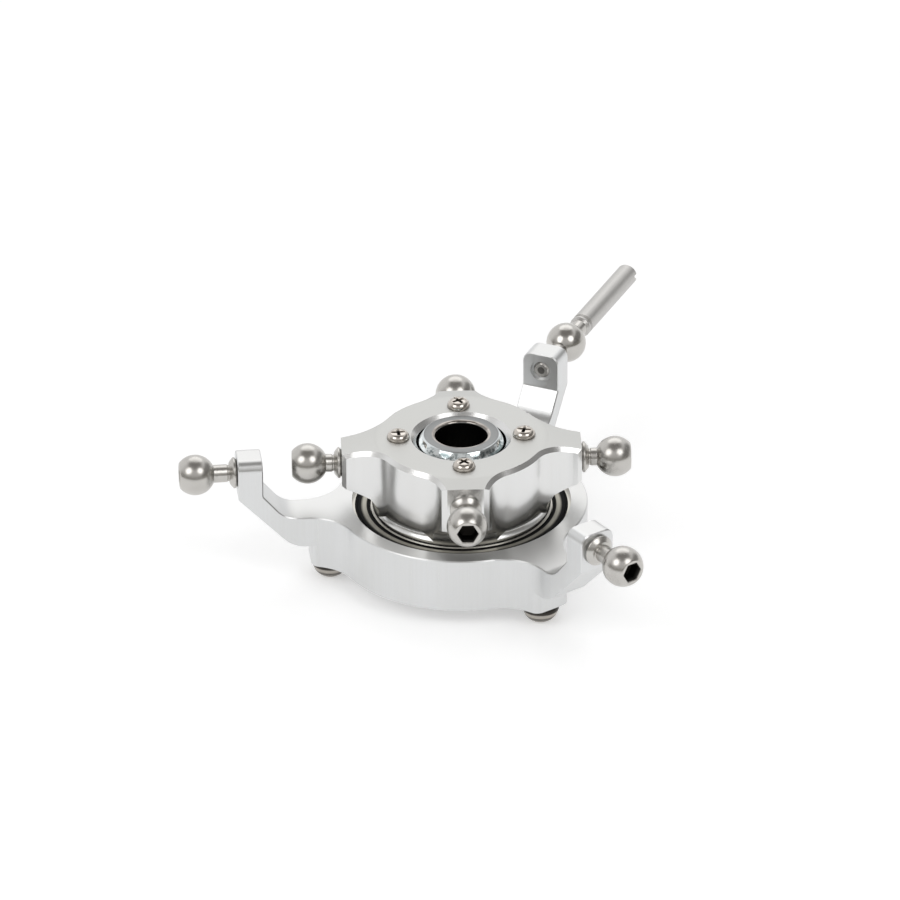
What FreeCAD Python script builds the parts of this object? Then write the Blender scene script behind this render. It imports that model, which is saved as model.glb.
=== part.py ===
import FreeCAD, Part
import math
import os
import Sketcher
from FreeCAD import Placement, Rotation, Vector

# Helicopter swashplate, in millimetres.
# The origin is the centre of the shaft ball. +Z runs up the main shaft, and +Y runs towards the guide pin.
# The lower ring is the half that does not turn. The upper star turns with the rotor.

# Every driving size: its name, its value and what it is. Angles are in degrees.
SIZES = (
    # the shaft ball, its liner and its seat
    ("shaft_bore_r", 3.0, "bore for the 6 mm main shaft"),
    ("bore_chamfer", 0.33, "chamfer at both ends of the shaft bore"),
    ("shaft_ball_r", 5.6, "sphere of the shaft ball"),
    ("shaft_ball_half", 3.45, "half height of the shaft ball between its flat faces"),
    ("ball_edge", 0.12, "edge break between sphere and flat face"),
    ("running_gap", 0.03, "clearance between surfaces that slide on each other"),
    ("liner_wall", 0.67, "thickness of the plastic liner"),
    ("liner_half", 1.3, "half height of the liner"),
    # the upper star
    ("star_clock", 26.1, "angle of the long arms from the +X axis"),
    ("star_opening_r", 5.28, "opening above the shaft ball"),
    ("opening_chamfer", 0.6, "chamfer round that opening"),
    ("lip_under_z", 2.45, "underside of the lip that holds the liner down"),
    ("star_rim_z", 3.12, "flat top of the star round the opening"),
    ("flat_in", 0.25, "from the hub wall in to the edge of that flat, where the arms slope down"),
    ("star_bend_r", 4, "blend between the flat and the sloping arms"),
    ("star_tip_z", 2.2, "top of the star at the tip of a long arm"),
    ("tip_under_z", -2.1, "underside of the star at the tip of a long arm"),
    ("under_slope", 0.43, "rise of the underside per millimetre of radius"),
    ("long_out", 2.13, "how much further a long arm reaches than a short one"),
    ("short_out", 1.4, "from the rim of the flange out to the end face of a short arm"),
    ("star_arm_half", 2.5, "half width of a star arm"),
    ("hub_in", 0.4, "from the rim of the flange in to the wall of the hub between two arms"),
    ("star_blend_r", 4.8, "concave blend from the arm to the hub"),
    ("star_edge", 0.42, "chamfer along the top of the milled walls"),
    ("star_corner", 0.5, "chamfer down the corners of the arm ends"),
    ("flange_out", 0.45, "how far the star's flange covers the inner race"),
    ("flange_h", 0.42, "height of the flange rim"),
    ("cove_r", 0.95, "cove between the hub wall and the flange"),
    ("neck_h", 1.6, "height of the plain neck above the bearing, under the arms"),
    ("neck_blend", 0.65, "blend from the neck to the sloping underside"),
    # the ball bearing
    ("bearing_bore_r", 10.0, "bore of the inner race"),
    ("bearing_section", 3.5, "from the bore to the outside of the bearing"),
    ("bearing_h", 4.0, "width of the bearing"),
    ("bearing_ball_r", 1.0, "bearing ball"),
    ("bearing_ball_count", 20, "number of bearing balls"),
    ("inner_land_in", 0.55, "from the circle of the balls in to the inner race"),
    ("inner_step", 0.6, "width of the step that the star clamps, on the inner race"),
    ("outer_land_out", 0.5, "from the circle of the balls out to the outer race"),
    ("seal_seat", 0.2, "how far the seal reaches into the outer race"),
    ("seal_depth", 0.4, "depth of the seal seat from the face of the bearing"),
    ("seal_t", 0.33, "thickness of the rubber seal"),
    ("seal_sink", 0.02, "how far the seal lies below the face of the bearing"),
    ("seal_lip_gap", 0.06, "gap between the seal lip and the inner race"),
    ("plate_w", 0.69, "width of the steel insert that shows in the seal"),
    ("plate_t", 0.15, "thickness of the steel insert"),
    ("cage_wall", 0.6, "thickness of the cage"),
    ("cage_h", 2.5, "height of the cage"),
    ("pocket_gap", 0.04, "clearance round a ball in the cage"),
    ("race_edge", 0.2, "corner chamfer of the races"),
    # the lower ring
    ("ring_top_z", -5.3, "top of the lower ring"),
    ("ring_h", 6.5, "height of the lower ring"),
    ("ring_wall", 1.25, "wall of the lower ring round the bearing"),
    ("lip_in", 0.7, "how far the lip of the ring covers the outer race"),
    ("ring_lip_t", 0.6, "thickness of that lip"),
    ("ring_edge", 0.12, "chamfer on the top edges of the lower ring"),
    ("arm_half", 2.3, "half width of a servo arm"),
    ("arm_blend_r", 5.5, "concave blend from the servo arm to the ring"),
    ("slope_run", 2.6, "from that foot out to the upright part of the arm"),
    ("arm_t", 2.9, "thickness of the upright part of the arm"),
    ("arm_top_z", 2.2, "top of a servo arm"),
    ("arm_corner_r", 1.2, "rounded top corners of the arm"),
    ("foot_out", 0.85, "from that heel out to where the inner slope meets the top of the ring"),
    ("arm_bend_z", -2.2, "where the inner slope meets the upright face"),
    ("arm_slant_z", -2.45, "where the outer slope starts"),
    ("heel_out", 2.1, "from the lobe out to where the outer slope meets the underside"),
    ("arm_under_z", -9.1, "underside of the arm"),
    ("foot_blend_r", 3.0, "blend at the foot of the inner slope"),
    ("bend_blend_r", 0.35, "blend at the top of the inner slope"),
    ("heel_blend_r", 3.5, "blend at the heel of the outer slope"),
    ("lobe_out", 3.1, "from the ring out to the end face of the lobe under each arm"),
    ("lobe_corner_r", 1.2, "rounded corners of that lobe"),
    # the retainer under the bearing and its screws
    ("retainer_w", 1, "width of the bearing retainer"),
    ("retainer_screw_out", 1.95, "from the bearing out to the circle of the underside screws"),
    ("button_r", 2.15, "button head"),
    ("button_h", 2.3, "height of the button head"),
    ("button_rim", 0.8, "plain rim of the button head"),
    ("button_top_r", 1.1, "flat on top of the button head"),
    ("button_shoulder", 0.3, "how far the middle of the dome stands out from a plain cone"),
    ("button_socket_r", 0.87, "corner radius of the hex socket in the button head"),
    ("button_socket_h", 0.9, "depth of that socket"),
    ("button_thread_r", 1.0, "thread of the underside screws"),
    ("button_thread_h", 4.5, "length of the underside screws under the head"),
    # the holder under the shaft ball and its screws
    ("holder_wall", 0.45, "from the threads of the top screws out to the outside of the seat holder"),
    ("holder_fit", 0.02, "clearance of the holder in the star"),
    ("holder_gap", 0.05, "gap between holder and star when the race is clamped"),
    ("holder_flange_out", 0.55, "how far the holder's flange covers the inner race"),
    ("holder_flange_h", 1.3, "height of that flange"),
    ("holder_mouth_r", 6.7, "lower end of the holder's bore"),
    ("spigot_gap", 0.2, "how far the star stops short of the flange"),
    ("seat_wall", 0.2, "from the seat out to the threads of the four top screws"),
    ("pan_r", 1.3, "pan head"),
    ("pan_h", 0.9, "height of the pan head"),
    ("pan_rim", 0.36, "plain rim of the pan head"),
    ("pan_top_r", 0.6, "flat on top of the pan head"),
    ("pan_shoulder", 0.2, "how far the middle of the dome stands out from a plain cone"),
    ("cross_half", 0.85, "half length of the cross recess"),
    ("cross_w", 0.42, "width of the cross recess"),
    ("cross_h", 0.6, "depth of the cross recess"),
    ("pan_thread_r", 0.8, "thread of the top screws"),
    ("pan_thread_h", 7.0, "length of the top screws under the head"),
    ("spot_depth", 0.1, "depth of the spot face under a pan head"),
    ("spot_gap", 0.06, "room round the pan head in its spot face"),
    # the link balls and the guide pin
    ("link_ball_r", 2.375, "link ball"),
    ("link_flat", 1.85, "flat outer face of a link ball, from its centre"),
    ("link_socket_r", 1.27, "corner radius of the hex socket in a link ball"),
    ("link_socket_h", 1.6, "depth of that socket"),
    ("link_neck_r", 1.05, "neck behind the ball"),
    ("collar_seat_r", 1.55, "collar where it meets the arm"),
    ("collar_r", 1.83, "widest part of the collar"),
    ("collar_land", 0.22, "length of each land of the collar"),
    ("collar_cone", 0.42, "length of the collar's cone"),
    ("stud_r", 1.0, "thread of a link ball"),
    ("stud_h", 2.75, "length of that thread"),
    ("stud_edge", 0.2, "chamfer at the end of the thread"),
    ("cut_spare", 1, "how far a cut runs on outside its piece"),
    ("hole_spare", 0.25, "depth of a blind hole past its thread"),
    ("star_standoff", 3.95, "arm face to ball centre on the star"),
    ("servo_standoff", 4.83, "arm face to ball centre on the lower ring"),
    ("sink_r", 1.3, "countersink on the inner face of a servo arm"),
    ("pin_r", 1.3, "guide pin"),
    ("pin_start", 3.9, "start of the pin, from the ball centre"),
    ("pin_end", 19.05, "tip of the pin, from the ball centre"),
    ("pin_edge", 0.35, "chamfer at both ends of the pin"),
    ("groove_start", 0.65, "from the end of the pin at the ball to the groove round it"),
    ("groove_w", 0.3, "width of that groove at its floor"),
    ("groove_h", 0.2, "depth of that groove"),
    ("slot_w", 0.7, "width of the screwdriver slot"),
    ("slot_h", 1.0, "depth of the screwdriver slot"),
)

SERVO_ARMS = 3
STAR_ARM_PAIRS = 2
STAR_ARMS = 4
TURN = 360
HEX_COUNT = 6

# Tests that pick edges: a length, parts of a face's normal along Z, and an angle.
SAME_PLACE = 0.01
WALL_FACING = math.sin(math.radians(1))
TOP_FACING = math.cos(math.radians(25))
SHARP_BEND = math.radians(20)


class Size:
    """A value of the sheet, or a sum of such values, with the expression that gives it."""

    def __init__(self, value, text):
        self.value = value
        self.text = text

    def _join(self, other, sign, value):
        return Size(value, "(%s %s %s)" % (self.text, sign, size(other).text))

    def __add__(self, other):
        return self._join(other, "+", self.value + size(other).value)

    def __sub__(self, other):
        return self._join(other, "-", self.value - size(other).value)

    def __mul__(self, other):
        return self._join(other, "*", self.value * size(other).value)

    def __truediv__(self, other):
        return self._join(other, "/", self.value / size(other).value)

    def __neg__(self):
        return Size(-self.value, "(0 - %s)" % self.text)

    def __radd__(self, other):
        return size(other) + self

    def __rsub__(self, other):
        return size(other) - self

    def __rmul__(self, other):
        return size(other) * self


def size(number):
    """Wraps a plain number, and leaves a Size as it is."""
    if isinstance(number, Size):
        return number
    return Size(number, "(%.9f)" % number)


def root(number):
    """Square root of a Size."""
    return Size(math.sqrt(number.value), "sqrt(%s)" % number.text)


def chord(radius, height):
    """Half chord of a circle at a height above its centre."""
    return root(radius * radius - height * height)


def bind(feature, name, number):
    """Ties a property of a feature to the sheet."""
    feature.setExpression(name, size(number).text)


class Sheet:
    """The spreadsheet of driving sizes, with one attribute for each of them."""

    def __init__(self, document):
        table = document.addObject("Spreadsheet::Sheet", "sizes")
        for row, (name, value, note) in enumerate(SIZES, start=1):
            table.set("A%d" % row, name)
            table.set("B%d" % row, str(value))
            table.set("C%d" % row, note)
            table.setAlias("B%d" % row, name)
            setattr(self, name, Size(value, "sizes." + name))


class Corner:
    """One corner of an outline. The arc that can lead to it leaves one coordinate to the solver."""

    def __init__(self, across, up, centre=None, turn=1, free="across"):
        self.across = size(across)
        self.up = size(up)
        self.centre = centre
        self.turn = turn
        self.free = free if centre else None

    def point(self):
        return Vector(self.across.value, self.up.value, 0)


def arc_piece(start, corner):
    """The arc that leads from a point to a corner, and which of its ends come first and last."""
    centre = Vector(size(corner.centre[0]).value, size(corner.centre[1]).value, 0)
    first = start - centre
    last = corner.point() - centre
    low = math.atan2(first.y, first.x)
    high = math.atan2(last.y, last.x)
    ends = (1, 2)
    if corner.turn < 0:
        low, high = high, low
        ends = (2, 1)
    if high < low:
        high += 2 * math.pi
    circle = Part.Circle(centre, Vector(0, 0, 1), first.Length)
    return Part.ArcOfCircle(circle, low, high), ends


def outline(sketch, corners):
    """Draws a closed outline, and ties its corners and arc centres to the sheet."""
    pieces = []
    ends = []
    for index, corner in enumerate(corners):
        start = corners[index - 1].point()
        if corner.centre:
            piece, order = arc_piece(start, corner)
        else:
            piece = Part.LineSegment(start, corner.point())
            order = (1, 2)
        pieces.append(piece)
        ends.append(order)
    base = sketch.GeometryCount
    sketch.addGeometry(pieces, False)
    ties = []
    for index, corner in enumerate(corners):
        piece = base + index
        after = base + (index + 1) % len(corners)
        last = ends[index][1]
        ties.append((("Coincident", piece, last, after, ends[(index + 1) % len(corners)][0]), None))
        if corner.free != "across":
            ties.append(place_tie("DistanceX", piece, last, corner.across))
        if corner.free != "up":
            ties.append(place_tie("DistanceY", piece, last, corner.up))
        if corner.centre:
            ties.append(place_tie("DistanceX", piece, 3, size(corner.centre[0])))
            ties.append(place_tie("DistanceY", piece, 3, size(corner.centre[1])))
    numbers = sketch.addConstraint([Sketcher.Constraint(*tie) for tie, _ in ties])
    for number, (_, value) in zip(numbers, ties):
        if value is not None:
            sketch.setExpression("Constraints[%d]" % number, value.text)


def place_tie(kind, piece, end, value):
    """Constraint that holds one coordinate of a point, on the axis where the coordinate is nothing."""
    if value.value == 0:
        axis = -2 if kind == "DistanceX" else -1
        return (("PointOnObject", piece, end, axis), None)
    return ((kind, -1, 1, piece, end, value.value), value)


def ring_outline(sketch, centre, radius):
    """Draws a circle and ties its centre and radius to the sheet."""
    across = size(centre[0])
    up = size(centre[1])
    index = sketch.GeometryCount
    circle = Part.Circle(Vector(across.value, up.value, 0), Vector(0, 0, 1), size(radius).value)
    sketch.addGeometry(circle, False)
    for kind, value in (("DistanceX", across), ("DistanceY", up)):
        tie, bound = place_tie(kind, index, 3, value)
        number = sketch.addConstraint(Sketcher.Constraint(*tie))
        if bound is not None:
            sketch.setExpression("Constraints[%d]" % number, bound.text)
    number = sketch.addConstraint(Sketcher.Constraint("Radius", index, size(radius).value))
    sketch.setExpression("Constraints[%d]" % number, size(radius).text)


doc = FreeCAD.newDocument("swashplate")
S = Sheet(doc)


def new_body(label, clock=None):
    """A body for one piece, turned about the shaft axis by an angle of the sheet."""
    body = doc.addObject("PartDesign::Body", label)
    body.Label = label
    body.AllowCompound = True
    if clock is not None:
        body.Placement = Placement(Vector(), Rotation(Vector(0, 0, 1), size(clock).value))
        bind(body, "Placement.Rotation.Angle", clock)
    return body


def datum(body, role):
    """Origin plane or axis of a body."""
    for feature in body.Origin.OriginFeatures:
        if feature.Role == role:
            return feature
    raise ValueError("no %s in %s" % (role, body.Label))


def sketch_on(body, name, role, height=None, shift=None):
    """Sketch on an origin plane, lifted by a height along its normal and shifted along its own X."""
    sketch = body.newObject("Sketcher::SketchObject", name)
    sketch.AttachmentSupport = (datum(body, role), [""])
    sketch.MapMode = "FlatFace"
    if height is not None:
        bind(sketch, "AttachmentOffset.Base.z", height)
    if shift is not None:
        bind(sketch, "AttachmentOffset.Base.x", shift)
    return sketch


def revolve(body, name, corners, about="V_Axis", kind="PartDesign::Revolution", shift=None):
    """Turns an outline in the XZ plane about an axis of its sketch."""
    sketch = sketch_on(body, name + "_profile", "XZ_Plane", shift=shift)
    outline(sketch, corners)
    feature = body.newObject(kind, name)
    feature.Profile = sketch
    feature.ReferenceAxis = (sketch, [about])
    feature.Angle = TURN
    return feature


def extrude(body, name, sketch, length, kind="PartDesign::Pad", both=False, backwards=False):
    """Pads or pockets a sketch by a length, on both sides of it where asked."""
    feature = body.newObject(kind, name)
    feature.Profile = sketch
    bind(feature, "Length", length)
    if both:
        feature.SideType = "Symmetric"
    feature.Reversed = backwards
    return feature


def repeat(body, name, features, count):
    """Repeats features round the shaft axis."""
    pattern = body.newObject("PartDesign::PolarPattern", name)
    pattern.Originals = features
    pattern.Axis = (datum(body, "Z_Axis"), [""])
    pattern.Angle = TURN
    if isinstance(count, Size):
        bind(pattern, "Occurrences", count)
    else:
        pattern.Occurrences = count
    body.Tip = pattern
    return pattern


def dress(body, name, kind, chosen, amount):
    """Fillets or chamfers the edges of the body's tip that a test picks."""
    every = enumerate(shape_now(body).Edges, start=1)
    edges = ["Edge%d" % number for number, edge in every if chosen(edge)]
    if not edges:
        raise ValueError("no edges for " + name)
    base = body.Tip
    feature = body.newObject("PartDesign::" + kind, name)
    feature.Base = (base, edges)
    bind(feature, "Radius" if kind == "Fillet" else "Size", amount)
    return feature


def shape_now(body):
    doc.recompute()
    return body.Tip.Shape


def reach(point):
    """Distance of a point from the shaft axis."""
    return math.hypot(point.x, point.y)


def near(first, second):
    return abs(first - size(second).value) < SAME_PLACE


def upright(edge):
    """Whether an edge is a straight vertical line."""
    ends = [vertex.Point for vertex in edge.Vertexes]
    if len(ends) != 2:
        return False
    return reach(ends[1] - ends[0]) < SAME_PLACE


def middle_of(edge):
    return edge.valueAt((edge.FirstParameter + edge.LastParameter) / 2)


def normals_beside(shape, edge):
    """Directions the faces on the two sides of an edge look in, at its middle."""
    middle = middle_of(edge)
    normals = []
    for face in shape.ancestorsOfType(edge, Part.Face):
        across, along = face.Surface.parameter(middle)
        normals.append(face.normalAt(across, along))
    return normals


def polygon(radius, count, middle=(0, 0)):
    """Corners of a regular polygon about a point."""
    corners = []
    for index in range(count):
        angle = 2 * math.pi * index / count
        corners.append(Corner(middle[0] + radius * math.cos(angle), middle[1] + radius * math.sin(angle)))
    return corners


def rectangle(left, low, right, high):
    return [Corner(left, low), Corner(right, low), Corner(right, high), Corner(left, high)]


# ---------------------------------------------------------------- shared heights and radii

liner_inner_r = S.shaft_ball_r + S.running_gap
liner_outer_r = liner_inner_r + S.liner_wall
seat_r = liner_outer_r + S.running_gap
seat_circle_r = seat_r + S.seat_wall + S.pan_thread_r
holder_r = seat_circle_r + S.pan_thread_r + S.holder_wall
pitch_r = S.bearing_bore_r + S.bearing_section / 2
bearing_outer_r = S.bearing_bore_r + S.bearing_section
inner_land_r = pitch_r - S.inner_land_in
inner_step_r = S.bearing_bore_r + S.inner_step
outer_land_r = pitch_r + S.outer_land_out
seal_outer_r = outer_land_r + S.seal_seat
plate_outer_r = pitch_r
plate_inner_r = plate_outer_r - S.plate_w
flange_r = S.bearing_bore_r + S.flange_out
holder_flange_r = S.bearing_bore_r + S.holder_flange_out
star_hub_r = flange_r - S.hub_in
star_flat_r = star_hub_r - S.flat_in
short_reach = flange_r + S.short_out
long_reach = short_reach + S.long_out
ring_lip_r = bearing_outer_r - S.lip_in
ring_outer_r = bearing_outer_r + S.ring_wall
retainer_inner_r = bearing_outer_r - S.retainer_w
retainer_circle_r = bearing_outer_r + S.retainer_screw_out
lobe_r = ring_outer_r + S.lobe_out
arm_heel_r = lobe_r + S.heel_out
arm_foot_r = arm_heel_r + S.foot_out
arm_inner_r = arm_foot_r + S.slope_run
arm_outer_r = arm_inner_r + S.arm_t
bearing_top_z = S.ring_top_z - S.ring_lip_t
bearing_low_z = bearing_top_z - S.bearing_h
bearing_mid_z = bearing_top_z - S.bearing_h / 2
ring_low_z = S.ring_top_z - S.ring_h
groove_r = S.bearing_ball_r + S.running_gap
star_slope = (S.star_rim_z - S.star_tip_z) / (long_reach - star_flat_r)
pan_seat_z = S.star_rim_z - S.spot_depth


# ---------------------------------------------------------------- the shaft ball and its liner

def make_shaft_ball():
    """Sphere with flat ends and the bore for the main shaft."""
    body = new_body("shaft_ball")
    half = S.shaft_ball_half
    cap_r = chord(S.shaft_ball_r, half) - S.ball_edge
    edge_z = half - S.ball_edge
    edge_r = chord(S.shaft_ball_r, edge_z)
    mouth_r = S.shaft_bore_r + S.bore_chamfer
    mouth_z = half - S.bore_chamfer
    revolve(body, "ball", [
        Corner(S.shaft_bore_r, -mouth_z),
        Corner(mouth_r, -half),
        Corner(cap_r, -half),
        Corner(edge_r, -edge_z),
        Corner(edge_r, edge_z, centre=(0, 0)),
        Corner(cap_r, half),
        Corner(mouth_r, half),
        Corner(S.shaft_bore_r, mouth_z),
    ])


def make_ball_liner():
    """Thin spherical belt that slides on the ball and in the seat."""
    body = new_body("ball_liner")
    revolve(body, "liner", [
        Corner(chord(liner_inner_r, S.liner_half), -S.liner_half),
        Corner(chord(liner_outer_r, S.liner_half), -S.liner_half),
        Corner(chord(liner_outer_r, S.liner_half), S.liner_half, centre=(0, 0)),
        Corner(chord(liner_inner_r, S.liner_half), S.liner_half),
        Corner(chord(liner_inner_r, S.liner_half), -S.liner_half, centre=(0, 0), turn=-1),
    ][1:])


# ---------------------------------------------------------------- the upper star

def star_blank(body):
    """Turned blank: top, sloping underside, neck, flange, spigot and the upper half of the seat."""
    blank_r = long_reach + 2 * S.star_corner
    top_z = S.star_tip_z - star_slope * (blank_r - long_reach)
    under_z = S.tip_under_z + S.under_slope * (blank_r - long_reach)
    neck_top_z = bearing_top_z + S.neck_h
    slope_r = flange_r + S.neck_blend
    slope_z = S.tip_under_z - S.under_slope * (long_reach - slope_r)
    spigot_z = bearing_low_z + S.spigot_gap
    bore_r = holder_r + S.holder_fit
    revolve(body, "blank", [
        Corner(S.star_opening_r + S.opening_chamfer, S.star_rim_z),
        Corner(S.star_opening_r, S.star_rim_z - S.opening_chamfer),
        Corner(S.star_opening_r, S.lip_under_z),
        Corner(chord(seat_r, S.lip_under_z), S.lip_under_z),
        Corner(seat_r, 0, centre=(0, 0), turn=-1),
        Corner(bore_r, 0),
        Corner(bore_r, spigot_z),
        Corner(S.bearing_bore_r, spigot_z),
        Corner(S.bearing_bore_r, bearing_top_z),
        Corner(flange_r, bearing_top_z),
        Corner(flange_r, neck_top_z),
        Corner(slope_r, slope_z),
        Corner(blank_r, under_z),
        Corner(blank_r, top_z),
        Corner(star_flat_r, S.star_rim_z),
    ])

    def flat_edge(edge):
        point = edge.Vertexes[0].Point
        return near(reach(point), star_flat_r) and near(point.z, S.star_rim_z)

    dress(body, "top_bend", "Fillet", flat_edge, S.star_bend_r)
    return blank_r


def star_valleys(body, far):
    """Mills the four valleys between the arms down to the flange."""
    floor_z = bearing_top_z + S.flange_h
    blend = S.star_blend_r
    half = S.star_arm_half
    hub = star_hub_r
    away = root((hub + blend) * (hub + blend) - (half + blend) * (half + blend))
    share = hub / (hub + blend)
    sketch = sketch_on(body, "valley_profile", "XY_Plane", height=floor_z)
    outline(sketch, [
        Corner(far, half),
        Corner(away, half),
        Corner(away * share, (half + blend) * share, centre=(away, half + blend), turn=-1),
        Corner((half + blend) * share, away * share, centre=(0, 0), turn=1),
        Corner(half, away, centre=(half + blend, away), turn=-1),
        Corner(half, far),
        Corner(far, far),
    ])
    depth = S.star_rim_z - floor_z
    valley = extrude(body, "valley", sketch, depth, kind="PartDesign::Pocket", backwards=True)
    repeat(body, "valleys", [valley], STAR_ARMS)


def star_ends(body, far):
    """Cuts the long and the short arms to length."""
    low = -S.star_rim_z * 2
    high = S.star_rim_z * 2
    for name, role, lift, backwards in (
        ("long_end", "YZ_Plane", long_reach, True),
        ("short_end", "XZ_Plane", -short_reach, False),
    ):
        sketch = sketch_on(body, name + "_profile", role, height=lift)
        outline(sketch, rectangle(-2 * S.star_arm_half, low, 2 * S.star_arm_half, high))
        cut = extrude(body, name, sketch, far, kind="PartDesign::Pocket", backwards=backwards)
        repeat(body, name + "s", [cut], STAR_ARM_PAIRS)


def star_cove(body):
    """Adds the cove that runs from the hub walls out to the flange."""
    centre = (star_hub_r + S.cove_r, bearing_top_z + S.flange_h + S.cove_r)
    across = flange_r - centre[0]
    inside = holder_r + S.holder_fit
    foot_z = bearing_top_z
    revolve(body, "cove", [
        Corner(inside, centre[1]),
        Corner(inside, foot_z),
        Corner(flange_r, foot_z),
        Corner(flange_r, centre[1] - root(S.cove_r * S.cove_r - across * across)),
        Corner(star_hub_r, centre[1], centre=centre, turn=-1),
    ])


def star_edges(body):
    """Breaks the edges of the milled walls and of the arm ends."""
    shape = shape_now(body)
    bore_r = S.star_opening_r.value + 2 * S.opening_chamfer.value

    def at_end(edge):
        middle = middle_of(edge)
        return near(abs(middle.x), long_reach) or near(abs(middle.y), short_reach)

    def along_top(edge):
        if at_end(edge) or upright(edge) or reach(middle_of(edge)) < bore_r:
            return False
        normals = normals_beside(shape, edge)
        on_top = max(normal.z for normal in normals) > TOP_FACING
        return on_top and min(abs(normal.z) for normal in normals) < WALL_FACING

    dress(body, "top_edges", "Chamfer", along_top, S.star_edge)
    dress(body, "end_corners", "Chamfer", lambda edge: at_end(edge) and upright(edge), S.star_corner)


def star_holes(body):
    """Seats and holes for the four top screws, and blind holes for the four link balls."""
    spot = sketch_on(body, "spot_profile", "XY_Plane", height=pan_seat_z)
    ring_outline(spot, (seat_circle_r, 0), S.pan_r + S.spot_gap)
    spot_face = extrude(body, "spot_face", spot, S.star_rim_z, kind="PartDesign::Pocket", backwards=True)
    repeat(body, "spot_faces", [spot_face], STAR_ARMS)
    hole = sketch_on(body, "screw_hole_profile", "XY_Plane", height=pan_seat_z)
    ring_outline(hole, (seat_circle_r, 0), S.pan_thread_r)
    screw_hole = extrude(body, "screw_hole", hole, pan_seat_z + S.holder_gap, kind="PartDesign::Pocket")
    repeat(body, "screw_holes", [screw_hole], STAR_ARMS)
    depth = S.stud_h + S.hole_spare
    for name, role, lift, backwards in (
        ("long_stud_hole", "YZ_Plane", long_reach, False),
        ("short_stud_hole", "XZ_Plane", -short_reach, True),
    ):
        sketch = sketch_on(body, name + "_profile", role, height=lift)
        ring_outline(sketch, (0, 0), S.stud_r)
        cut = extrude(body, name, sketch, depth, kind="PartDesign::Pocket", backwards=backwards)
        repeat(body, name + "s", [cut], STAR_ARM_PAIRS)


def make_upper_star():
    """Rotating half, milled from one turned blank."""
    body = new_body("upper_star", S.star_clock)
    blank_r = star_blank(body)
    far = blank_r + S.cut_spare
    star_valleys(body, far)
    star_ends(body, far)
    star_cove(body)
    star_edges(body)
    star_holes(body)


# ---------------------------------------------------------------- the seat holder and the top screws

def make_seat_holder():
    """Flanged sleeve that closes the seat from below and clamps the inner race."""
    body = new_body("seat_holder", S.star_clock)
    lip_z = -S.lip_under_z
    mouth_z = lip_z - (S.star_rim_z - S.opening_chamfer - S.lip_under_z)
    flange_low_z = bearing_low_z - S.holder_flange_h
    revolve(body, "sleeve", [
        Corner(chord(seat_r, S.holder_gap), -S.holder_gap),
        Corner(chord(seat_r, S.lip_under_z), lip_z, centre=(0, 0), turn=-1),
        Corner(S.star_opening_r, lip_z),
        Corner(S.star_opening_r, mouth_z),
        Corner(S.holder_mouth_r, flange_low_z),
        Corner(holder_flange_r, flange_low_z),
        Corner(holder_flange_r, bearing_low_z),
        Corner(holder_r, bearing_low_z),
        Corner(holder_r, -S.holder_gap),
    ])
    hole = sketch_on(body, "screw_hole_profile", "XY_Plane", height=-S.holder_gap)
    ring_outline(hole, (seat_circle_r, 0), S.pan_thread_r)
    depth = S.pan_thread_h - pan_seat_z - S.holder_gap + S.hole_spare
    screw_hole = extrude(body, "screw_hole", hole, depth, kind="PartDesign::Pocket")
    repeat(body, "screw_holes", [screw_hole], STAR_ARMS)


def make_seat_screws():
    """Four cross-recess pan head screws round the opening."""
    body = new_body("seat_screws", S.star_clock)
    head_z = pan_seat_z + S.pan_h
    rim_z = pan_seat_z + S.pan_rim
    low_z = pan_seat_z - S.pan_thread_h
    dome_r = (S.pan_r + S.pan_top_r + S.pan_shoulder) / 2
    dome_z = (head_z + rim_z + S.pan_shoulder) / 2
    screw = revolve(body, "screw", [
        Corner(0, low_z),
        Corner(S.pan_thread_r - S.stud_edge, low_z),
        Corner(S.pan_thread_r, low_z + S.stud_edge),
        Corner(S.pan_thread_r, pan_seat_z),
        Corner(S.pan_r, pan_seat_z),
        Corner(S.pan_r, rim_z),
        Corner(dome_r, dome_z),
        Corner(S.pan_top_r, head_z),
        Corner(0, head_z),
    ], shift=seat_circle_r)
    cross = sketch_on(body, "cross_profile", "XY_Plane", height=head_z, shift=seat_circle_r)
    long = S.cross_half
    half = S.cross_w / 2
    outline(cross, [
        Corner(long, -half), Corner(long, half), Corner(half, half), Corner(half, long),
        Corner(-half, long), Corner(-half, half), Corner(-long, half), Corner(-long, -half),
        Corner(-half, -half), Corner(-half, -long), Corner(half, -long), Corner(half, -half),
    ])
    recess = extrude(body, "recess", cross, S.cross_h, kind="PartDesign::Pocket")
    repeat(body, "screws", [screw, recess], STAR_ARMS)


# ---------------------------------------------------------------- the bearing between the halves

def make_inner_race():
    """Inner race with its ball groove and a step for each seal lip."""
    body = new_body("bearing_inner_race", S.star_clock)
    step = S.seal_depth
    groove_half = chord(groove_r, pitch_r - inner_land_r)
    revolve(body, "race", [
        Corner(S.bearing_bore_r, bearing_low_z),
        Corner(inner_step_r, bearing_low_z),
        Corner(inner_step_r, bearing_low_z + step),
        Corner(inner_land_r, bearing_low_z + step),
        Corner(inner_land_r, bearing_mid_z - groove_half),
        Corner(inner_land_r, bearing_mid_z + groove_half, centre=(pitch_r, bearing_mid_z), turn=-1),
        Corner(inner_land_r, bearing_top_z - step),
        Corner(inner_step_r, bearing_top_z - step),
        Corner(inner_step_r, bearing_top_z),
        Corner(S.bearing_bore_r, bearing_top_z),
    ])


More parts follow.
